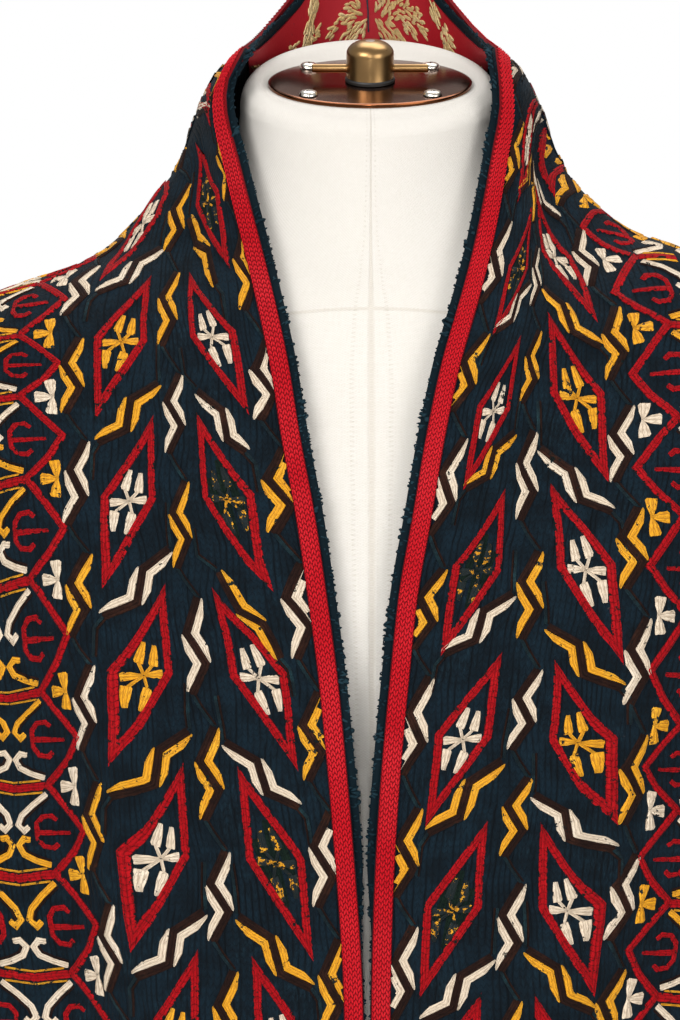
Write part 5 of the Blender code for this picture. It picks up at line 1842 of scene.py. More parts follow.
    def sew(
        self,
        name: str,
        cloth: bpy.types.Object,
        book: MotifBook,
        placings: list[Placing],
        wander: float = 0.0,
        seed: float = 0.0,
    ) -> bpy.types.Object:
        """Sews motifs onto a cloth.

        Args:
            name: the new piece's name.
            cloth: the guide that carries the chart.
            book: the motifs.
            placings: where each goes.
            wander: how far the hand strays, in metres.
            seed: which way it strays.

        Returns:
            The piece as a plain mesh.
        """
        points = np.array([(p.across, p.down, 0.0) for p in placings]) * 0.001
        obj = mesh_object(name, points, [])
        mesh = obj.data
        motif, turn = [book.numbers[p.motif] for p in placings], [p.turn for p in placings]
        mesh.attributes.new("motif", "INT", "POINT").data.foreach_set("value", motif)
        mesh.attributes.new("turn", "FLOAT", "POINT").data.foreach_set("value", turn)
        facing = [(p.handed * p.size, p.stretch * p.size, p.size) for p in placings]
        paint_attribute(obj, "facing", facing)
        modifier = obj.modifiers.new("sew down", "NODES")
        modifier.node_group = self.tree
        given = {"Cloth": cloth, "Motifs": book.collection, "Wander": wander, "Seed": seed}
        for key, value in given.items():
            modifier[self.sockets[key]] = value
        graph = bpy.context.evaluated_depsgraph_get()
        plain = bpy.data.meshes.new_from_object(
            obj.evaluated_get(graph), preserve_all_data_layers=True, depsgraph=graph
        )
        obj.modifiers.clear()
        obj.data = plain
        bpy.data.meshes.remove(mesh)
        plain.name = name
        for extra in ("out", "thread", "motif", "turn", "facing"):
            if extra in plain.attributes:
                plain.attributes.remove(plain.attributes[extra])
        return obj


def between(points: np.ndarray, at: float) -> np.ndarray:
    """The point at a broken number along a row of points."""
    k = int(at)
    return points[k] * (1 - at + k) + points[k + 1] * (at - k)


def sewn_on(
    materials: list[bpy.types.Material],
    name: str,
    cloth: Cloth,
    book: MotifBook,
    placings: list[Placing],
    wander: float = 0.0,
    seed: float = 0.0,
) -> bpy.types.Object:
    """Sews the motifs of a book onto a cloth, as one piece, and clears the book away.

    Args:
        materials: those of the motifs' threads, in the order of Thread.
        name: the new piece's name.
        cloth: what it lies on.
        book: the motifs.
        placings: where each goes.
        wander: how far the hand strays, in metres.
        seed: which way it strays.

    Returns:
        The piece.
    """
    guide = cloth.guide()
    piece = Sewing(materials).sew(name, guide, book, placings, wander, seed)
    book.close()
    bpy.data.objects.remove(guide)
    return piece


@dataclass
class EdgeTrim:
    """The looped braid along the whole free edge, and the dark tufted cord beyond it."""

    coat: Coat
    red: bpy.types.Material
    dark: bpy.types.Material
    wale: float = 2.3
    pitch: float = 2.7
    leaf_turn: float = 17.0
    leaf_apart: float = 1.12
    stray: float = 0.0004
    tufts_each_metre: int = 820
    loop_radius: float = 0.68
    snug: float = 0.0005
    hidden_depth: float = 0.056
    hidden_fade: float = 0.042
    tuck_fade: float = 0.05
    inside_fade: float = 0.04
    edge: np.ndarray | None = None
    beside: np.ndarray | None = None
    normal: np.ndarray | None = None
    rise: np.ndarray | None = None
    tuck: np.ndarray | None = None
    inside: np.ndarray | None = None
    pieces: dict[str, bpy.types.Object] = field(default_factory=dict)

    def build(self) -> None:
        """Makes and dresses the braid, its chain stitches, the edging and its loops."""
        self.lay_out()
        tape, core = self.braid(), self.cord()
        stitches, loops = self.stitches(tape.down.max()), self.tufts(core.down.max())
        # The tape and the core carry no stitch places, so their materials paint them all over in
        # the shade colour, as the shade under the stitches and the loops
        self.pieces["braid"] = dress(tape.wall(), self.red)
        chain = "edge_braid_stitches", tape, self.stitch_book(), stitches
        self.pieces["chain"] = sewn_on([self.red], *chain, self.stray, 2.0)
        self.pieces["cord"] = dress(core.wall(thick=0.0006), self.dark)
        tufts = "edge_cord_tufts", core, self.tuft_book(), loops
        self.pieces["tufts"] = sewn_on([self.dark], *tufts)

    def front_line(self, side: Side) -> list[tuple]:
        """A front's edge from the neck down: its point, the braid's inner point, and the rest."""
        front, line = self.coat.fronts[side], []
        for row, edge in enumerate(front.points[:, 0]):
            inner = between(front.points[row], BRAID_WIDTH / front.across[row, 1])
            depth = front.down[row, 0] - front.down[0, 0]
            below = CORD_TUCK - edge[2]
            hidden = smooth_step((self.hidden_depth - depth) / self.hidden_fade)
            inside = max(hidden, smooth_step(1 + below / self.inside_fade))
            tuck = smooth_step(below / self.tuck_fade)
            line.append((edge, inner, front.normals[row, 0], 0.0, tuck, inside))
        return line

    def back_line(self) -> list[tuple]:
        """The same along the standing back of the neck, from the right to the left."""
        back, corner, line = self.coat.back, COLLAR[-1].x, []
        low = BRAID_WIDTH / float(np.median(back.down[1] - back.down[0]))
        for col in np.flatnonzero(np.abs(back.points[0, :, 0]) < corner - 0.003):
            edge = back.points[0, col]
            behind = smooth_step((1 - abs(edge[0]) / corner) * 2.5)
            rise, inner = behind * BACK_BRAID_RISE, between(back.points[:, col], low)
            line.append((edge, inner, back.normals[0, col], rise, behind, 1.0))
        return line

    def lay_out(self) -> None:
        """Follows the free edge from one hem round the neck to the other."""
        whole = [*self.front_line(RIGHT)[::-1], *self.back_line(), *self.front_line(LEFT)]
        line = [np.array(values) for values in zip(*whole)]
        edge, beside, normal, rise, tuck, inside = line
        inward = unit(beside - edge)
        for _ in range(2):
            inward[1:-1] = unit(inward[:-2] + 2 * inward[1:-1] + inward[2:])
            normal[1:-1] = unit(normal[:-2] + 2 * normal[1:-1] + normal[2:])
        self.edge, self.normal = edge, normal
        self.beside = edge + inward * BRAID_WIDTH
        self.rise, self.tuck, self.inside = (v[:, None] for v in (rise, tuck, inside))

    def braid(self) -> Cloth:
        """The ground of the braid, as a narrow cloth on the panels."""
        inward = unit(self.beside - self.edge)
        first = self.edge - inward * (self.rise - SEAM_GAP)
        width = BRAID_WIDTH + self.rise - SEAM_GAP
        places = np.array([0.0, 0.06, 0.28, 0.5, 0.72, 0.94, 1.0])
        high = np.array([0.35, 0.85, 1.0, 1.0, 1.0, 0.85, 0.35]) * 0.0009 + SEAT_GAP
        across = width * places
        points = first[:, None] + inward[:, None] * across[..., None]
        points += self.normal[:, None] * high[None, :, None]
        normals = np.repeat(self.normal[:, None], len(places), axis=1)
        centre = walked_along(points[:, len(places) // 2])
        down = np.repeat(centre[:, None], len(places), axis=1)
        chart = np.repeat((places - 0.5)[None] * BRAID_WIDTH, len(points), axis=0)
        return Cloth("edge_braid_tape", points, normals, chart, down)

    def stitch_book(self) -> MotifBook:
        """One chain stitch of the braid: two plump leaves that meet in a V."""
        book, leaf = MotifBook("chain"), []
        outline = ((0.0, 0.25, 0.1), (0.9, 0.62, 0.85), (2.4, 0.60, 0.80), (3.5, 0.2, 0.0))
        for along, half, high in outline:
            leaf.append([(-half, along, -0.1), (0.0, along, high), (half, along, -0.1)])
        across, along, high = np.array(leaf).transpose(2, 0, 1)
        vertices, faces, stitch = [], [], []
        for hand in (-1, 1):
            turn = math.radians(self.leaf_turn) * hand
            x = across * math.cos(turn) - along * math.sin(turn) + hand * self.leaf_apart
            y = across * math.sin(turn) + along * math.cos(turn)
            vertices.append(np.stack([x, y, high], axis=-1).reshape(-1, 3) * 0.001)
            faces.append(grid_faces(*across.shape, across.size * (hand + 1) // 2))
            stitch.append(np.stack([np.sign(across), along * 0.001], axis=-1).reshape(-1, 2))
        mesh = [np.concatenate(values) for values in (vertices, faces, stitch)]
        book.keep("chain", *mesh, np.zeros(2 * across.size, int))
        return book

    def stitches(self, length: float) -> list[Placing]:
        """Four wales of chain stitch along the braid."""
        rows = np.arange(0.0, length * 1000 - self.pitch, self.pitch)
        wales = (np.arange(4) - 1.5) * self.wale
        return [
            Placing("chain", x, y + 0.5 * self.pitch * (k % 2))
            for y in rows
            for k, x in enumerate(wales)
        ]

    def tuft_book(self) -> MotifBook:
        """One loop of yarn that stands out of the edging."""
        book, rings, stitch = MotifBook("loop"), [], []
        turns, wide = np.linspace(0.0, math.pi, 6), np.array([1.0, 0.0, 0.0])
        for turn in turns:
            c, s = math.cos(turn), math.sin(turn)
            centre = np.array([0.2 * math.sin(2 * turn), -0.75 * c, 1.15 * s - 0.3])
            for angle in (90.0, 210.0, 330.0):
                x, out = math.cos(math.radians(angle)), math.sin(math.radians(angle))
                rings.append(centre + self.loop_radius * (wide * x + np.array([0.0, -c, s]) * out))
                stitch.append((x, turn * 0.001))
        faces, thread = grid_faces(len(turns), 3, closed=True), np.zeros(len(rings), int)
        book.keep("loop", np.array(rings) * 0.001, faces, np.array(stitch), thread)
        return book

    def tufts(self, length: float) -> list[Placing]:
        """Loops scattered over the edging, largest and thickest in a few tangles."""
        chance = np.random.default_rng(7)
        count = round(length * self.tufts_each_metre)
        down = np.sort(chance.uniform(0.0, length * 1000, count))
        tangle = np.clip(np.sin(down / 17.0) * np.sin(down / 5.3 + 1.0) + 0.05, 0.0, 1.0)
        around = chance.uniform(-0.6, 2.4, count)
        size = chance.uniform(0.40, 0.75, count) + 0.75 * tangle * chance.uniform(0.2, 1.0, count)
        turn = chance.uniform(0.0, math.pi, count)
        return [
            Placing("loop", a * 1.25, d, turn=t, size=s)
            for a, d, t, s in zip(around, down, turn, size)
        ]

    def cord(self) -> Cloth:
        """The core of the edging: a soft tube, of which this is the skin."""
        inward = unit(self.beside - self.edge)
        beyond = SEAM_GAP + CORD_WIDTH / 2
        out = beyond - self.snug - self.tuck * (2 * beyond - SEAM_GAP)
        under = CLOTH / 2 + self.inside * (CLOTH / 2 + SEAT_GAP + CORD_THICK / 2)
        centre = self.edge - inward * out - self.normal * under
        turn = np.linspace(-math.pi, math.pi, 10, endpoint=False)
        side = -inward[:, None] * np.sin(turn)[None, :, None] * (CORD_WIDTH / 2 + self.snug)
        front = self.normal[:, None] * np.cos(turn)[None, :, None] * CORD_THICK / 2
        points = centre[:, None] + side + front
        normals = unit(side / CORD_WIDTH + front / CORD_THICK)
        down = np.repeat(walked_along(centre)[:, None], len(turn), axis=1)
        across = np.repeat(turn[None], len(down), 0)
        return Cloth("edge_cord_core", points, normals, across * 0.00125, down, closed=True)


@dataclass
class NeckLining:
    """The crimson lining that shows inside the standing back of the neck, with its gold."""

    coat: Coat
    dark: bpy.types.Material
    last_row: int = 8
    wall: bpy.types.Object | None = None
    sprays: bpy.types.Object | None = None

    def build(self) -> None:
        """Makes the lining, and sews its gold sprays and its loose dark threads onto it."""
        inner, book = self.cloth(), MotifBook("spray")
        self.wall = dress(inner.wall(thick=LINING_THICK), CRIMSON.material())
        chance = np.random.default_rng(3)
        for number, spray in enumerate(SPRAYS):
            book.write(str(number), spray.strokes(chance))
        loose = [Stroke(Thread.YELLOW, width, line, height=0.5) for width, line in LINING_THREADS]
        book.write("loose", loose)
        places = [Placing(key, 0.0, 0.0) for key in book.numbers]
        materials = [GOLD.material(), self.dark]
        self.sprays = sewn_on(materials, "neck_lining_sprays", inner, book, places)

    def cloth(self) -> Cloth:
        """The lining's inner face, which looks at the neck."""
        back = self.coat.back
        columns = np.flatnonzero(np.abs(back.points[0, :, 0]) <= COLLAR[-1].x + 0.001)
        depth = back.down - back.down[:1]
        middle = back.points.shape[1] // 2
        rows = np.flatnonzero(depth[:, middle] < row_places()[self.last_row])
        points = back.points[np.ix_(rows, columns)]
        normals = back.normals[np.ix_(rows, columns)]
        share = BRAID_WIDTH / 2 / depth[1, columns][:, None]
        points[0] = points[0] * (1 - share) + points[1] * share
        points -= normals * (CLOTH + SEAT_GAP + LINING_THICK)
        across = back.across[np.ix_(rows, columns)]
        return Cloth("neck_lining_cloth", points, -normals, across, depth[np.ix_(rows, columns)])


GOLDEN_ANGLE = 2.39996


@dataclass(frozen=True)
class Spray:
    """A fan of short fat gold stitches on the lining, in millimetres on its chart.

    It fills an ellipse, and its stitches point away from its root.
    """

    across: float
    down: float
    wide: float
    tall: float
    root: Corner
    stitches: int

    def strokes(self, chance: np.random.Generator) -> list[Stroke]:
        """The stitches, each a little astray."""
        found = []
        for k in range(self.stitches):
            out = math.sqrt((k + 0.5) / self.stitches)
            turn = k * GOLDEN_ANGLE + chance.uniform(-0.25, 0.25)
            x = self.across + self.wide * out * math.cos(turn)
            y = self.down + self.tall * out * math.sin(turn)
            heading = math.atan2(y - self.root[1], x - self.root[0]) + chance.uniform(-0.35, 0.35)
            half = chance.uniform(1.7, 2.7)
            c, s = half * math.cos(heading), half * math.sin(heading)
            corners = ((x - c, y - s), (x, y), (x + c, y + s))
            width = chance.uniform(1.5, 2.1)
            high = chance.uniform(0.6, 1.1)
            found.append(Stroke(Thread.IVORY, width, corners, height=high, pointed=True))
        return found


SPRAYS = (
    Spray(-9.0, 37.0, 7.0, 5.5, (2.0, 44.0), 20),
    Spray(-7.0, 47.5, 8.0, 5.0, (3.0, 42.0), 20),
    Spray(-21.0, 39.0, 5.0, 3.2, (-10.0, 40.0), 8),
    Spray(13.0, 35.0, 8.0, 6.5, (6.0, 48.0), 24),
    Spray(15.0, 47.0, 10.0, 6.0, (3.0, 40.0), 28),
    Spray(27.0, 31.0, 8.0, 8.5, (14.0, 36.0), 30),
    Spray(38.0, 25.0, 8.0, 5.0, (24.0, 32.0), 18),
    Spray(55.0, 9.0, 5.0, 6.5, (62.0, 18.0), 16),
    Spray(67.0, 17.0, 6.0, 8.0, (58.0, 8.0), 18),
    Spray(-38.0, 14.0, 4.5, 7.0, (-42.0, 34.0), 18),
    Spray(-43.0, 25.0, 5.5, 8.0, (-38.0, 12.0), 24),
    Spray(-35.0, 30.0, 4.0, 3.0, (-42.0, 26.0), 6),
    Spray(-58.0, 22.0, 6.0, 4.0, (-50.0, 22.0), 8),
    Spray(-88.0, 25.0, 9.0, 5.0, (-80.0, 30.0), 16),
    Spray(86.0, 24.0, 8.0, 6.0, (80.0, 34.0), 16),
)
LINING_THREADS = (
    (2.8, ((-38.0, 15.0), (-40.0, 20.0), (-43.5, 27.0))),
    (0.9, ((1.0, 27.0), (1.6, 39.0), (1.2, 50.0))),
    (1.7, ((7.5, 51.5), (11.0, 54.6), (16.0, 55.6))),
)


def leaning(points: np.ndarray, middle: float, lean: float) -> np.ndarray:
    """Points whose back is raised above their front by a lean in degrees."""
    points[..., 2] += (points[..., 1] - middle) * math.tan(math.radians(lean))
    return points


def on_neck(vertices: np.ndarray, x: float = 0.0, y: float = 0.0, rise: float = 0.0) -> np.ndarray:
    """Points of a cap fitting moved onto the leaning top of the neck."""
    lean = math.radians(NECK_LEAN)
    across = np.array([0.0, math.cos(lean), math.sin(lean)])
    up = np.array([0.0, -math.sin(lean), math.cos(lean)])
    place = np.asarray(vertices, float) + np.array([x, y, rise])
    flat = place[..., :1] * np.array([1.0, 0.0, 0.0]) + place[..., 1:2] * across
    return np.array([0.0, NECK_MIDDLE_Y, NECK_TOP]) + flat + place[..., 2:] * up


def turned_rings(profile: list[tuple[float, float]], sides: int) -> np.ndarray:
    """Rings of points turned about Z from (radius, height) pairs, foot first."""
    angle = np.linspace(0.0, 2 * math.pi, sides, endpoint=False)
    rings = np.array(profile)
    circle = np.stack([np.cos(angle), np.sin(angle)], axis=1)
    flat = rings[:, None, :1] * circle
    return np.concatenate([flat, np.broadcast_to(rings[:, None, 1:], (*flat.shape[:2], 1))], 2)


def tube(name: str, rings: np.ndarray, sharp: float = 40.0) -> bpy.types.Object:
    """A closed solid through rings of points, with capped ends."""
    count, sides = rings.shape[:2]
    faces = grid_faces(count, sides, closed=True).tolist()
    faces += [list(range(sides)), list(range((count - 1) * sides, count * sides))[::-1]]
    obj = mesh_object(name, rings.reshape(-1, 3), faces)
    solid = bmesh.new()
    solid.from_mesh(obj.data)
    bmesh.ops.recalc_face_normals(solid, faces=solid.faces)
    solid.to_mesh(obj.data)
    solid.free()
    obj.data.set_sharp_from_angle(angle=math.radians(sharp))
    return obj


@dataclass
class DressForm:
    """The linen-covered body that wears the coat."""

    sides: int = 120
    spacing: float = 0.006
    rim_rings: int = 6
    rim_steps: int = 25
    half_girth: float = 0.13

    def build(self) -> bpy.types.Object:
        """The body with the rolled rim of its neck."""
        angle = np.linspace(0.0, 2 * math.pi, self.sides, endpoint=False)
        rings = []
        for ring in TORSO:
            x, y = round_outline(ring.half_width, ring.front, ring.back, ring.square, angle)
            points = np.stack([x, y, np.full_like(x, ring.z)], axis=1)
            rings.append(leaning(points, NECK_MIDDLE_Y, ring.lean))
        rings = np.array(rings)
        places = walked_along(rings).mean(axis=1)
        rim = places[-1 - self.rim_rings]
        at = np.linspace(0.0, rim, round(rim / self.spacing) + 1)
        at = np.concatenate([at, np.linspace(rim, places[-1], self.rim_steps + 1)[1:]])
        fine = spline(places, rings, at)
        middle, lid = fine[-1].mean(axis=0), []
        for share, rise in ((0.975, 0.0002), (0.94, 0.0), (0.915, -0.0006)):
            lid.append(middle + (fine[-1] - middle) * share)
            lid[-1][:, 2] += rise
        rings = np.concatenate([fine, lid])
        obj = tube("form_torso_linen", rings)
        from_front = math.pi - np.abs(angle - math.pi)
        across = np.repeat(from_front[None] * self.half_girth, len(rings), axis=0)
        chart = np.stack([across, walked_along(rings)], axis=-1)
        paint_attribute(obj, "chart", chart.reshape(-1, 2))
        return dress(obj, Linen().material())


@dataclass
class NeckCap:
    """The oval plate let onto the neck, its screws, and the clamp knob with its bar."""

    brass: bpy.types.Material
    sides: int = 96
    thin_sides: int = 32
    gasket: float = 0.0021
    top_depth: float = 0.0001
    pieces: dict[str, bpy.types.Object] = field(default_factory=dict)

    def build(self) -> None:
        """Makes each fitting and gives it its metal."""
        turned, steel = TURNED_BRASS.material(), SCREW_STEEL.material()
        self.pieces["neck_plate"] = dress(self.plate(), self.brass)
        knob = dress(self.knob(), turned, GASKET.material(), WORN_STEEL.material())
        self.pieces["neck_knob"] = knob
        self.pieces["neck_bar"] = dress(self.bar(), turned)
        for number in range(1, 5):
            self.pieces[f"plate_screw_{number}"] = dress(self.screw(number), steel)
        for face in knob.data.polygons:
            heights = [self.height_above_plate(knob.data.vertices[v].co) for v in face.vertices]
            if max(heights) < self.gasket:
                face.material_index = 1
            elif min(heights) > KNOB_HEIGHT - self.top_depth:
                face.material_index = 2

    def height_above_plate(self, place: Vector) -> float:
        """How far a point stands above the plate's face."""
        lean = math.radians(NECK_LEAN)
        up = Vector((0.0, -math.sin(lean), math.cos(lean)))
        return (place - Vector((0.0, NECK_MIDDLE_Y, NECK_TOP))).dot(up) - PLATE_THICK - SEAT_GAP

    def plate(self) -> bpy.types.Object:
        """The plate, with an eased upper edge."""
        angle = np.linspace(0.0, 2 * math.pi, self.sides, endpoint=False)
        eased = ((0.0, 0.0009), (0.0002, 0.0004), (0.0008, 0.0001), (0.0016, 0.0))
        profile = [(0.0, SEAT_GAP), *((inset, PLATE_THICK - drop) for inset, drop in eased)]
        rings = []
        for inset, height in profile:
            x = (PLATE_HALF_WIDTH - inset) * np.cos(angle)
            y = (PLATE_HALF_DEPTH - inset) * np.sin(angle)
            rings.append(np.stack([x, y, np.full_like(x, height)], axis=1))
        return tube("neck_plate_metal", on_neck(np.array(rings)))

    def knob(self) -> bpy.types.Object:
        """The domed knob."""
        wall = KNOB_HEIGHT - KNOB_DOME
        profile = [(KNOB_FOOT_RADIUS, 0.0), (KNOB_FOOT_RADIUS, 0.0011)]
        profile += [(KNOB_FOOT_RADIUS - 0.0004, 0.0015), (KNOB_RADIUS, 0.0020), (KNOB_RADIUS, wall)]
        for turn in (10, 20, 30, 40, 50, 60, 70, 78, 85):
            angle = math.radians(turn)
            radius = KNOB_RADIUS * (0.12 + 0.88 * math.cos(angle))
            profile.append((radius, wall + KNOB_DOME * math.sin(angle)))
        rings = turned_rings(profile, self.sides)
        return tube("neck_knob_metal", on_neck(rings, rise=PLATE_THICK + SEAT_GAP))

    def bar(self) -> bpy.types.Object:
        """The cross bar, with eased ends."""
        end, ease = BAR_HALF_LENGTH, 0.0005
        profile = [(BAR_RADIUS - ease, -end), (BAR_RADIUS, -end + ease)]
        profile += [(BAR_RADIUS, end - ease), (BAR_RADIUS - ease, end)]
        rings = turned_rings(profile, self.thin_sides)[..., [2, 1, 0]]
        return tube("neck_bar_metal", on_neck(rings, rise=PLATE_THICK + SEAT_GAP + BAR_HEIGHT))

    def screw(self, number: int) -> bpy.types.Object:
        """One domed screw head."""
        x = SCREW_X * (1 if number % 2 == 0 else -1)
        y = SCREW_Y * (1 if number > 2 else -1)
        wall = 0.0005
        profile = [(SCREW_RADIUS, 0.0), (SCREW_RADIUS * 0.97, wall)]
        for share in (0.85, 0.65, 0.45, 0.25, 0.08):
            height = wall + (SCREW_HEIGHT - wall) * math.sqrt(1 - share**2)
            profile.append((SCREW_RADIUS * share, height))
        rings = turned_rings(profile, self.thin_sides)
        head = tube(f"plate_screw_{number}_metal", on_neck(rings, x, y, PLATE_THICK + SEAT_GAP))
        turn = math.radians(25.0 * number)
        flat = rings.reshape(-1, 3)
        across = flat[:, 0] * math.cos(turn) - flat[:, 1] * math.sin(turn)
        down = flat[:, 0] * math.sin(turn) + flat[:, 1] * math.cos(turn)
        paint_attribute(head, "chart", np.stack([across, down], axis=-1))
        return head


@dataclass
class Stand:
    """The stand below: a weighted round foot, a pole and the flange that carries the form."""

    brass: bpy.types.Material
    sides: int = 96
    rim: float = 0.012
    pieces: dict[str, bpy.types.Object] = field(default_factory=dict)

    def foot(self) -> list[tuple[float, float]]:
        """The foot's (radius, height) pairs: an eased rim, a hollow rise and a boss."""
        inner, rim_top = FOOT_RADIUS - self.rim, FOOT_EDGE + self.rim / 2
        rim = [(FOOT_RADIUS, 0.0), (FOOT_RADIUS, FOOT_EDGE - 0.001)]
        rim += [(FOOT_RADIUS - 0.004, FOOT_EDGE + 0.003), (inner, rim_top)]
        rise = [
            (inner + (FOOT_BOSS_RADIUS - inner) * share, rim_top + 0.014 * share**2)
            for share in (0.2, 0.35, 0.5, 0.65, 0.75, 0.85)
        ]
        boss = [(FOOT_BOSS_RADIUS, FOOT_HEIGHT - 0.022), (0.021, FOOT_HEIGHT - 0.004)]
        return [*rim, *rise, *boss, (0.019, FOOT_HEIGHT)]

    def flange(self, under: float) -> list[tuple[float, float]]:
        """The flange's (radius, height) pairs: a boss, a fillet and a plate."""
        boss = [(FLANGE_BOSS_RADIUS, under - FLANGE_BOSS_DROP)]
        boss += [(FLANGE_BOSS_RADIUS, under - FLANGE_THICK - 0.004)]
        boss += [(FLANGE_BOSS_RADIUS + 0.004, under - FLANGE_THICK)]
        plate = [(FLANGE_RADIUS - 0.001, under - FLANGE_THICK), (FLANGE_RADIUS, under - 0.007)]
        return [*boss, *plate, (FLANGE_RADIUS, under)]

    def build(self) -> None:
        """Turns the three pieces."""
        under = TORSO[0].z - SEAT_GAP
        ends = (FOOT_HEIGHT + SEAT_GAP, under - FLANGE_BOSS_DROP - SEAT_GAP)
        pole = [(POLE_RADIUS, end) for end in ends]
        profiles = {"foot": self.foot(), "flange": self.flange(under), "pole": pole}
        for name, profile in profiles.items():
            piece = tube(f"stand_{name}_metal", turned_rings(profile, self.sides))
            self.pieces[f"stand_{name}"] = dress(piece, self.brass)


@dataclass(frozen=True)
class PlainPaint:
    """A plain surface of one colour, faintly mottled."""

    name: str
    colour: Colour
    rough: float = 0.85

    def material(self) -> bpy.types.Material:
        """Builds the material."""
        paint = Paint(self.name, self.rough)
        tone = paint.noise(paint.place(), 6.0, 2.0)
        darker = tuple(0.985 * value for value in self.colour)
        paint.feed("Base Color", paint.blend(tone, darker, self.colour))
        return paint.material


@dataclass
class Studio:
    """Floor, light and camera."""

    eye: Colour = (-0.0147, -2.0, 1.274)
    aim: Colour = (0.0, 0.0, 1.3)
    frame_height: float = 0.498
    floor_half: float = 2.4
    backdrop_y: float = 13.0
    world_light: float = 0.42
    lamps: tuple[tuple[str, Colour, Corner, float], ...] = (
        ("key", (-1.3, -2.2, 2.5), (1.3, 1.3), 52.0),
        ("fill", (1.5, -2.0, 1.7), (1.2, 1.6), 24.0),
        ("top", (0.2, 0.4, 3.0), (1.4, 0.9), 18.0),
        ("strip", (-0.05, -2.6, 1.7), (0.13, 1.3), 12.0),
        ("low_strip", (-0.03, -1.5, 0.12), (0.10, 0.5), 4.0),
        ("behind", (0.0, 2.35, 1.3), (5.0, 2.4), 38.0),
    )

    def build(self) -> None:
        """Sets the plain pale studio."""
        square = np.array([(-1.0, -1.0), (1.0, -1.0), (1.0, 1.0), (-1.0, 1.0)])
        corners = np.insert(square * self.floor_half, 2, 0.0, axis=1)
        floor = mesh_object("studio_floor", corners, [(0, 1, 2, 3)])
        floor.data.materials.append(PlainPaint("studio_white", (0.93, 0.93, 0.93)).material())
        far = np.insert(square * 2.0 + (0.0, 1.4), 1, self.backdrop_y, axis=1)
        backdrop = mesh_object("studio_backdrop", far, [(0, 1, 2, 3)])
        glow = Paint("studio_glow", 1.0, Emission_Strength=1.0, Specular_IOR_Level=0.0)
        glow.shader.inputs["Base Color"].default_value = (0.0, 0.0, 0.0, 1.0)
        glow.shader.inputs["Emission Color"].default_value = (1.0, 1.0, 1.0, 1.0)
        backdrop.data.materials.append(glow.material)
        world = bpy.data.worlds.new("studio")
        bpy.context.scene.world = world
        world.use_nodes = True
        back = world.node_tree.nodes["Background"]
        back.inputs[0].default_value = (1.0, 1.0, 1.0, 1.0)
        back.inputs[1].default_value = self.world_light
        for lamp in self.lamps:
            self.lamp(*lamp)
        bpy.context.scene.view_settings.view_transform = "Standard"
        self.camera()

    def lamp(self, name: str, place: Colour, size: Corner, power: float) -> None:
        """A soft light that looks at the coat, and that the camera doesn't see."""
        light = bpy.data.lights.new(name, "AREA")
        light.shape, light.energy = "RECTANGLE", power
        light.size, light.size_y = size
        obj = bpy.data.objects.new(name, light)
        obj.visible_camera = False
        obj.location = place
        away = Vector(place) - Vector(self.aim)
        obj.rotation_euler = away.to_track_quat("Z", "Y").to_euler()
        bpy.context.scene.collection.objects.link(obj)

    def camera(self) -> None:
        """The photograph's own view."""
        camera = bpy.data.cameras.new("camera")
        obj = bpy.data.objects.new("camera", camera)
        obj.location = self.eye
        obj.rotation_euler = (math.radians(90.0), 0.0, 0.0)
        camera.sensor_fit = "AUTO"
        camera.lens = 36.0 * -self.eye[1] / self.frame_height
        bpy.context.scene.collection.objects.link(obj)
        bpy.context.scene.camera = obj


def dress(obj: bpy.types.Object, *materials: bpy.types.Material) -> bpy.types.Object:
    """Gives a piece its materials."""
    obj.data.materials.clear()
    for material in materials:
        obj.data.materials.append(material)
    return obj


YELLOW, IVORY = Thread.YELLOW, Thread.IVORY


def motif_key(kind: Motif, silk: Thread) -> str:
    """The name under which a book keeps a motif in one of its silks."""
    return f"{kind.value}_{silk.name.lower()}"


@dataclass(frozen=True)
class Column:
    """Motifs one under another, in two silks by turns.

    starts are their places down the chart, where they are known, and they go on beyond at the
    same pace. piece is the part of the embroidery that the column belongs to. first_kinds are
    the motifs of its first known places where they differ, and first_silks their silks.
    """

    piece: Share
    kind: Motif
    across: float
    starts: tuple[float, ...]
    silk: Thread
    unit: float
    handed: int = 1
    paces: bool = True
    first_kinds: tuple[Motif, ...] = ()
    first_silks: tuple[Thread, ...] = ()

    def reach(self, low: float, high: float) -> tuple[list[float], int]:
        """All the starts that touch a range, and how many come before the first known one."""
        pace = float(np.mean(np.diff(self.starts)))
        before = max(0, math.ceil((self.starts[0] - low) / pace) + 1)
        after = max(0, math.ceil((high - self.starts[-1]) / pace) + 1)
        above = [self.starts[0] - pace * k for k in range(before, 0, -1)]
        below = [self.starts[-1] + pace * k for k in range(1, after + 1)]
        return [*above, *self.starts, *below], before

    def placings(self, low: float, high: float, place: float, handed: int) -> list[Placing]:
        """Sets the column on a run of the pattern.

        Args:
            low: the top of the cloth on its chart.
            high: its bottom.
            place: where the run's zero lies across the chart.
            handed: 1, or -1 where the run is mirrored.

        Returns:
            The placings.
        """
        starts, before = self.reach(low, high)
        silks = (self.silk, IVORY if self.silk is YELLOW else YELLOW)
        first_kinds = dict(enumerate(self.first_kinds))
        first_silks = dict(enumerate(self.first_silks))
        across, found = place + handed * self.across, []
        for known, (start, following) in enumerate(zip(starts, starts[1:]), -before):
            kind, silk = first_kinds.get(known, self.kind), first_silks.get(known, silks[known % 2])
            stretch = (following - start) / self.unit if self.paces else 1.0
            key = motif_key(kind, silk)
            found.append(Placing(key, across, start, stretch, handed * self.handed))
        return found


STEM, RUN = 54.0, 148.5
RIGHT_TOOTH, LEFT_TOOTH = 110.0, 106.5


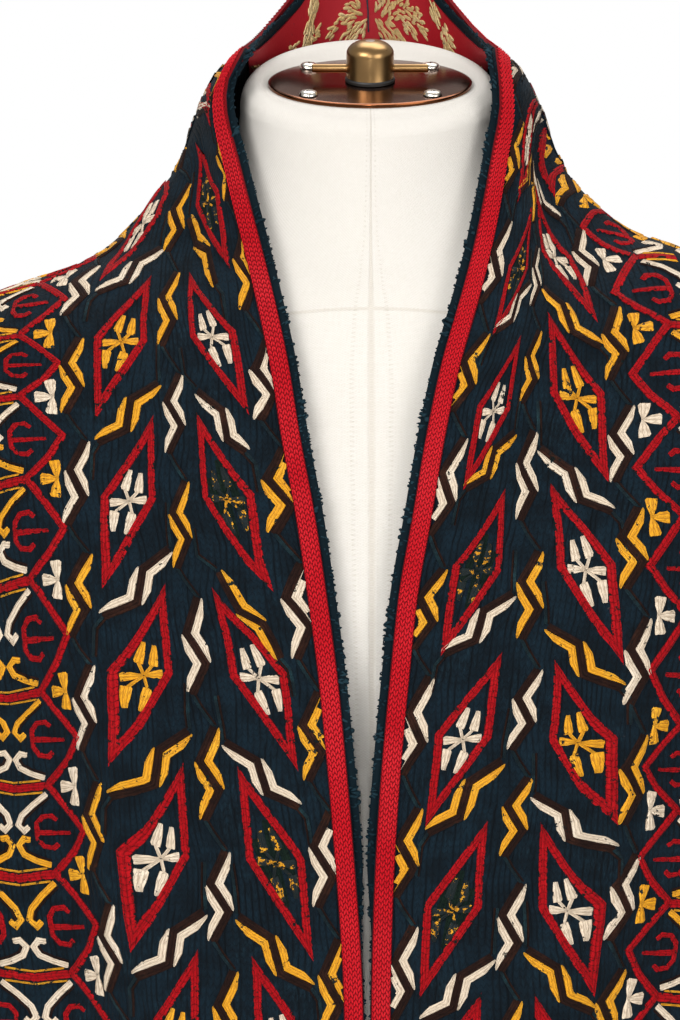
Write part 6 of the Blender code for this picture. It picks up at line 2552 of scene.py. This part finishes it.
def pattern(rows: dict[str, tuple[tuple[float, ...], Thread]], tooth: float, wind: int) -> list:
    """The columns of one run, from the free edge outwards.

    Args:
        rows: for each column, its starts and its first silk.
        tooth: how far out the scarlet border's teeth stand.
        wind: the hand of the zigzags.

    Returns:
        The columns.
    """
    tree, border = Share.TREE, Share.BORDER
    plan = (
        (Share.ZIGZAG, Motif.ZIGZAG, "edge", 5.0, ZIGZAG_LENGTH, wind),
        (Share.ZIGZAG, Motif.ZIGZAG, "stem", STEM, ZIGZAG_LENGTH, wind),
        (Share.ZIGZAG, Motif.ZIGZAG, "side", tooth - 6.0, ZIGZAG_LENGTH, wind),
        (tree, Motif.LEAF, "inner_leaf", STEM - 0.5, LEAF_LENGTH, -1),
        (tree, Motif.FRESH, "outer_leaf", STEM - 0.5, LEAF_LENGTH, 1),
        (tree, Motif.SLANT, "inner_slant", STEM, LEAF_LENGTH, -1),
        (tree, Motif.SLANT, "outer_slant", STEM, LEAF_LENGTH, 1),
        (border, Motif.TREFOIL, "notch", tooth + 4.0, TOOTH_LENGTH, 1),
        (border, Motif.TOOTH, "notch", tooth, TOOTH_LENGTH, 1),
    )
    slants = (Motif.UPPER, Motif.NARROW, Motif.STEEP)
    found = []
    for piece, kind, row, across, length, hand in plan:
        starts, silk = rows[row]
        firsts = slants if row == "inner_slant" and wind > 0 else ()
        alike = (YELLOW,) if row in ("edge", "stem") and wind > 0 else ()
        paces = kind is not Motif.TREFOIL
        found.append(Column(piece, kind, across, starts, silk, length, hand, paces, firsts, alike))
    return found


RIGHT_ROWS = {
    "edge": ((-322.0, -262.0, -196.8, -142.0, -85.6, -26.0, 28.5, 87.6), IVORY),
    "stem": ((-298.0, -241.0, -180.0, -125.0, -69.6, -10.0, 47.5, 102.0), IVORY),
    "side": ((-200.0, -146.0, -91.0, -39.0, 16.0, 73.0), YELLOW),
    "inner_leaf": ((-239.0, -159.0, -73.0, 9.0, 96.0), IVORY),
    "outer_leaf": ((-238.0, -156.5, -75.0, 7.7, 93.5), YELLOW),
    "inner_slant": ((-276.0, -170.5, -81.4, -3.0, 77.0), YELLOW),
    "outer_slant": ((-175.0, -92.4, -8.0, 75.0), YELLOW),
    "notch": ((-203.0, -168.0, -127.0, -79.0, -27.0, 19.0, 60.5, 107.0), YELLOW),
}
LEFT_ROWS = {
    "edge": ((-324.0, -267.0, -201.0, -147.0, -83.0, -33.0, 27.0, 81.5), YELLOW),
    "stem": ((-203.0, -151.0, -92.5, -37.0, 13.0, 62.0), YELLOW),
    "side": ((-221.0, -165.0, -113.0, -61.0, -6.0, 50.0, 103.0), YELLOW),
    "inner_leaf": ((-199.0, -121.0, -43.0, 34.5, 113.0), IVORY),
    "outer_leaf": ((-213.0, -126.0, -40.0, 35.0, 114.0), YELLOW),
    "inner_slant": ((-150.0, -71.7, 5.4, 95.0), YELLOW),
    "outer_slant": ((-230.0, -143.0, -56.7, 21.0, 92.0), YELLOW),
    "notch": ((-206.0, -156.0, -108.0, -62.0, -10.0, 30.0, 73.5, 117.0), YELLOW),
}


@dataclass
class Embroidery:
    """The silk embroidery that covers the coat, in three pieces to a cloth."""

    coat: Coat
    materials: list[bpy.types.Material]
    bare_edge: float = 0.0084
    stray: float = 0.0022
    pieces: dict[str, list[bpy.types.Object]] = field(default_factory=dict)

    def book(self, name: str, plain: bool) -> MotifBook:
        """Every motif in both silks."""
        book, motifs = MotifBook(name, plain), Motifs()
        for silk in (YELLOW, IVORY):
            drawn = {
                Motif.ZIGZAG: motifs.zigzag(silk),
                Motif.LEAF: motifs.leaf(silk, silk is YELLOW),
                Motif.FRESH: motifs.leaf(silk, False),
                **{run: motifs.slant(silk, run) for run in SLANTS},
                Motif.TREFOIL: motifs.trefoil(silk),
                Motif.TOOTH: motifs.tooth(silk),
            }
            for kind, strokes in drawn.items():
                book.write(motif_key(kind, silk), strokes)
        return book

    def build(self) -> None:
        """Sews every cloth: the fronts in full, and the others in plainer ribbons."""
        book, sewing, coat = self.book("motif", False), Sewing(self.materials), self.coat
        right, left = pattern(RIGHT_ROWS, RIGHT_TOOTH, 1), pattern(LEFT_ROWS, LEFT_TOOTH, -1)
        margin = BRAID_WIDTH * 1000
        for side, own in ((RIGHT, right), (LEFT, left)):
            runs = [(own, margin, 1), (right, 2 * RUN + margin, -1)]
            self.panel(sewing, book, coat.fronts[side], runs)
        book.close()
        book = self.book("plain_motif", True)
        across = [(RUN, -1), (RUN - 10.0, 1), (3 * RUN - 10.0, -1)]
        wide = [(right, s * place, s * hand) for s in Side for place, hand in across]
        near = [run for run in wide if abs(run[1]) < 2 * RUN]
        from_stem = [(right, -s * STEM, s) for s in Side]
        from_stem += [(right, s * (2 * RUN - STEM), -s) for s in Side]
        self.panel(sewing, book, coat.back, wide)
        for side in Side:
            self.panel(sewing, book, coat.sleeves[side], near)
            self.panel(sewing, book, coat.gores[side], from_stem)
        book.close()

    def panel(self, sewing: Sewing, book: MotifBook, cloth: Cloth, runs: list) -> None:
        """Sews one cloth from its runs of columns, each with its place and hand."""
        guide = cloth.guide(self.bare_edge if cloth.name.startswith("front") else 0.0)
        low, high = cloth.down.min() * 1000, cloth.down.max() * 1000
        placings: dict[Share, list[Placing]] = {}
        for columns, place, hand in runs:
            for column in columns:
                found = column.placings(low, high, place, hand)
                placings.setdefault(column.piece, []).extend(found)
        stem, made = cloth.name.removesuffix("_cloth"), []
        for number, (piece, wanted) in enumerate(placings.items()):
            name, seed = f"{stem}_{piece.value}_embroidery", 3.0 + 7.0 * number
            made.append(sewing.sew(name, guide, book, wanted, self.stray, seed))
        self.pieces[cloth.name] = made
        bpy.data.objects.remove(guide)


# Each silk's colour, its shade and its light.
GOLDEN = ((0.70, 0.31, 0.008), (0.26, 0.085, 0.003), (0.82, 0.44, 0.03))
CREAM = ((0.68, 0.56, 0.42), (0.26, 0.17, 0.10), (0.78, 0.68, 0.55))
SCARLET = ((0.33, 0.0030, 0.0065), (0.065, 0.001, 0.0018), (0.44, 0.007, 0.010))
UMBER = ((0.0150, 0.0055, 0.0036), (0.0030, 0.0014, 0.0012), (0.050, 0.017, 0.009))
BOTTLE = ((0.0036, 0.0100, 0.0075), (0.0015, 0.0040, 0.0035), (0.009, 0.019, 0.010))
PETROL = ((0.0032, 0.0120, 0.0165), (0.0010, 0.0026, 0.0042), (0.016, 0.060, 0.072))
WINE = ((0.30, 0.0025, 0.009), (0.17, 0.0015, 0.005), (0.35, 0.005, 0.012))
STRAW = ((0.62, 0.43, 0.17), (0.15, 0.07, 0.020), (0.86, 0.70, 0.40))
CRIMSON_YARN = ((0.50, 0.0055, 0.013), (0.110, 0.0015, 0.0035), (0.58, 0.016, 0.025))
DARK_YARN = ((0.0060, 0.0180, 0.0260), (0.0022, 0.0066, 0.0100), (0.016, 0.042, 0.056))

SILKS = {
    Thread.IVORY: SilkThread("silk_ivory", *CREAM, notch=0.10, worn=0.05),
    Thread.YELLOW: SilkThread("silk_yellow", *GOLDEN, notch=0.10, worn=0.12),
    Thread.RED: SilkThread("silk_red", *SCARLET, notch=1.0, worn=0.10, frayed=0.16, gloss=0.06),
    Thread.BROWN: SilkThread("silk_brown", *UMBER, rough=0.6, notch=0.3, gloss=0.07),
    Thread.GREEN: SilkThread("silk_green", *BOTTLE, rough=0.65, gloss=0.06),
    Thread.NAVY: SilkThread("silk_navy", *PETROL, gloss=0.12),
    Thread.FLECKED: SilkThread("silk_flecked", *GOLDEN, notch=0.1, worn=0.60),
}
CRIMSON = SilkThread("crimson_lining", *WINE, rough=0.5, notch=0.0)
GOLD = SilkThread("gold_thread", *STRAW, rough=0.36, notch=0.2, frayed=0.0, gloss=0.5)
RED_BRAID = WoolBraid("red_braid", *CRIMSON_YARN, gloss=0.08)
DARK_EDGING = WoolBraid("dark_edging", *DARK_YARN, gloss=0.05)
# Old brass, its colour made far darker and redder than brass to paint in the dark red surroundings
# that the polished plate mirrors; the stand has it too
BRASS_WITH_PAINTED_REFLECTION = OldMetal("antique_brass", (0.155, 0.052, 0.018), (0.065, 0.020, 0.008), 0.06, stained=0.4)
TURNED_BRASS = OldMetal(
    *("brushed_brass", (0.34, 0.205, 0.085), (0.15, 0.075, 0.028), 0.20),
    brushed=(0.05, 0.05, 1.0),
    depth=0.12,
)
SCREW_STEEL = OldMetal("screw_steel", (0.70, 0.67, 0.60), (0.34, 0.24, 0.15), 0.16, recess=True)
WORN_STEEL = OldMetal("worn_steel", (0.62, 0.59, 0.53), (0.34, 0.25, 0.16), 0.18)
GASKET = PlainPaint("gasket", (0.012, 0.011, 0.010), 0.5)


@dataclass(frozen=True)
class FlatCut:
    """The flat size that a cloth is cut to, in metres and square metres, and how it is held."""

    width: float
    length: float
    area: float
    held: str
    rests_on: tuple[str, ...]


CUTS = {
    "front_right_cloth": FlatCut(0.323, 1.269, 0.332, "draped", ("form_torso_linen",)),
    "front_left_cloth": FlatCut(0.324, 1.269, 0.339, "draped", ("form_torso_linen",)),
    "back_cloth": FlatCut(0.731, 1.299, 0.702, "draped", ("form_torso_linen",)),
    "gore_right_cloth": FlatCut(0.359, 0.909, 0.111, "hung", ("front_right_cloth", "back_cloth")),
    "gore_left_cloth": FlatCut(0.356, 0.908, 0.114, "hung", ("front_left_cloth", "back_cloth")),
    "sleeve_right_cloth": FlatCut(0.463, 0.745, 0.233, "hung", ("front_right_cloth", "back_cloth")),
    "sleeve_left_cloth": FlatCut(0.481, 0.755, 0.235, "hung", ("front_left_cloth", "back_cloth")),
    "neck_lining_cloth": FlatCut(0.243, 0.141, 0.0169, "draped", ("back_cloth",)),
}


def main() -> None:
    """Builds the coat on its form, dresses it, and logs each piece's face count and slot."""
    logging.basicConfig(level=logging.INFO, stream=sys.stdout, format="%(message)s")
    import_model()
    coat = Coat(Drape())
    coat.build()
    embroidery = Embroidery(coat, [SILKS[thread].material() for thread in Thread])
    embroidery.build()
    dark, brass = DARK_EDGING.material(), BRASS_WITH_PAINTED_REFLECTION.material()
    trim, lining = EdgeTrim(coat, RED_BRAID.material(), dark), NeckLining(coat, dark)
    trim.build()
    lining.build()
    torso = DressForm().build()
    cap, stand = NeckCap(brass), Stand(brass)
    cap.build()
    stand.build()
    braid, chain, cord, tufts = (trim.pieces[n] for n in ("braid", "chain", "cord", "tufts"))
    fittings = {**cap.pieces, **stand.pieces}

    for name, wall in coat.walls.items():
        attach(wall, "stand")
        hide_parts(name.removesuffix("_cloth"))
        for piece in embroidery.pieces[name]:
            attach(piece, "stand")
    for obj, node in ((braid, "edge_braid"), (cord, "edge_cord"), (lining.wall, "neck_lining")):
        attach(obj, "stand")
        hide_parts(node)
    for extra in (chain, tufts, lining.sprays):
        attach(extra, "stand")
    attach(torso, "stand")
    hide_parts("form_torso")
    for name, obj in fittings.items():
        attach(obj, "knob" if name in ("neck_knob", "neck_bar") else "stand")
        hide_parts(name)

    companions = dict(embroidery.pieces)
    companions["back_cloth"] = [*companions["back_cloth"], braid, chain, cord, tufts]
    companions["neck_lining_cloth"] = [lining.sprays]
    for name, obj in {**coat.walls, "neck_lining_cloth": lining.wall}.items():
        cut = CUTS[name]
        list(cut.rests_on)
        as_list(companions[name])
    slots = {piece: "navy_silk" for piece in coat.walls.values()}
    slots |= {piece: "navy_silk" for made in embroidery.pieces.values() for piece in made}
    slots |= {lining.wall: "crimson_lining", lining.sprays: "crimson_lining", torso: "linen"}
    slots |= {braid: "red_braid", chain: "red_braid", cord: "dark_edging", tufts: "dark_edging"}
    for name, obj in fittings.items():
        slots[obj] = "screw_steel" if name.startswith("plate_screw") else "antique_brass"
    for obj, slot in slots.items():
        LOG.info("%s: %d faces, %s", obj.name, len(obj.data.polygons), slot)
    Studio().build()


if __name__ == "__main__":
    main()
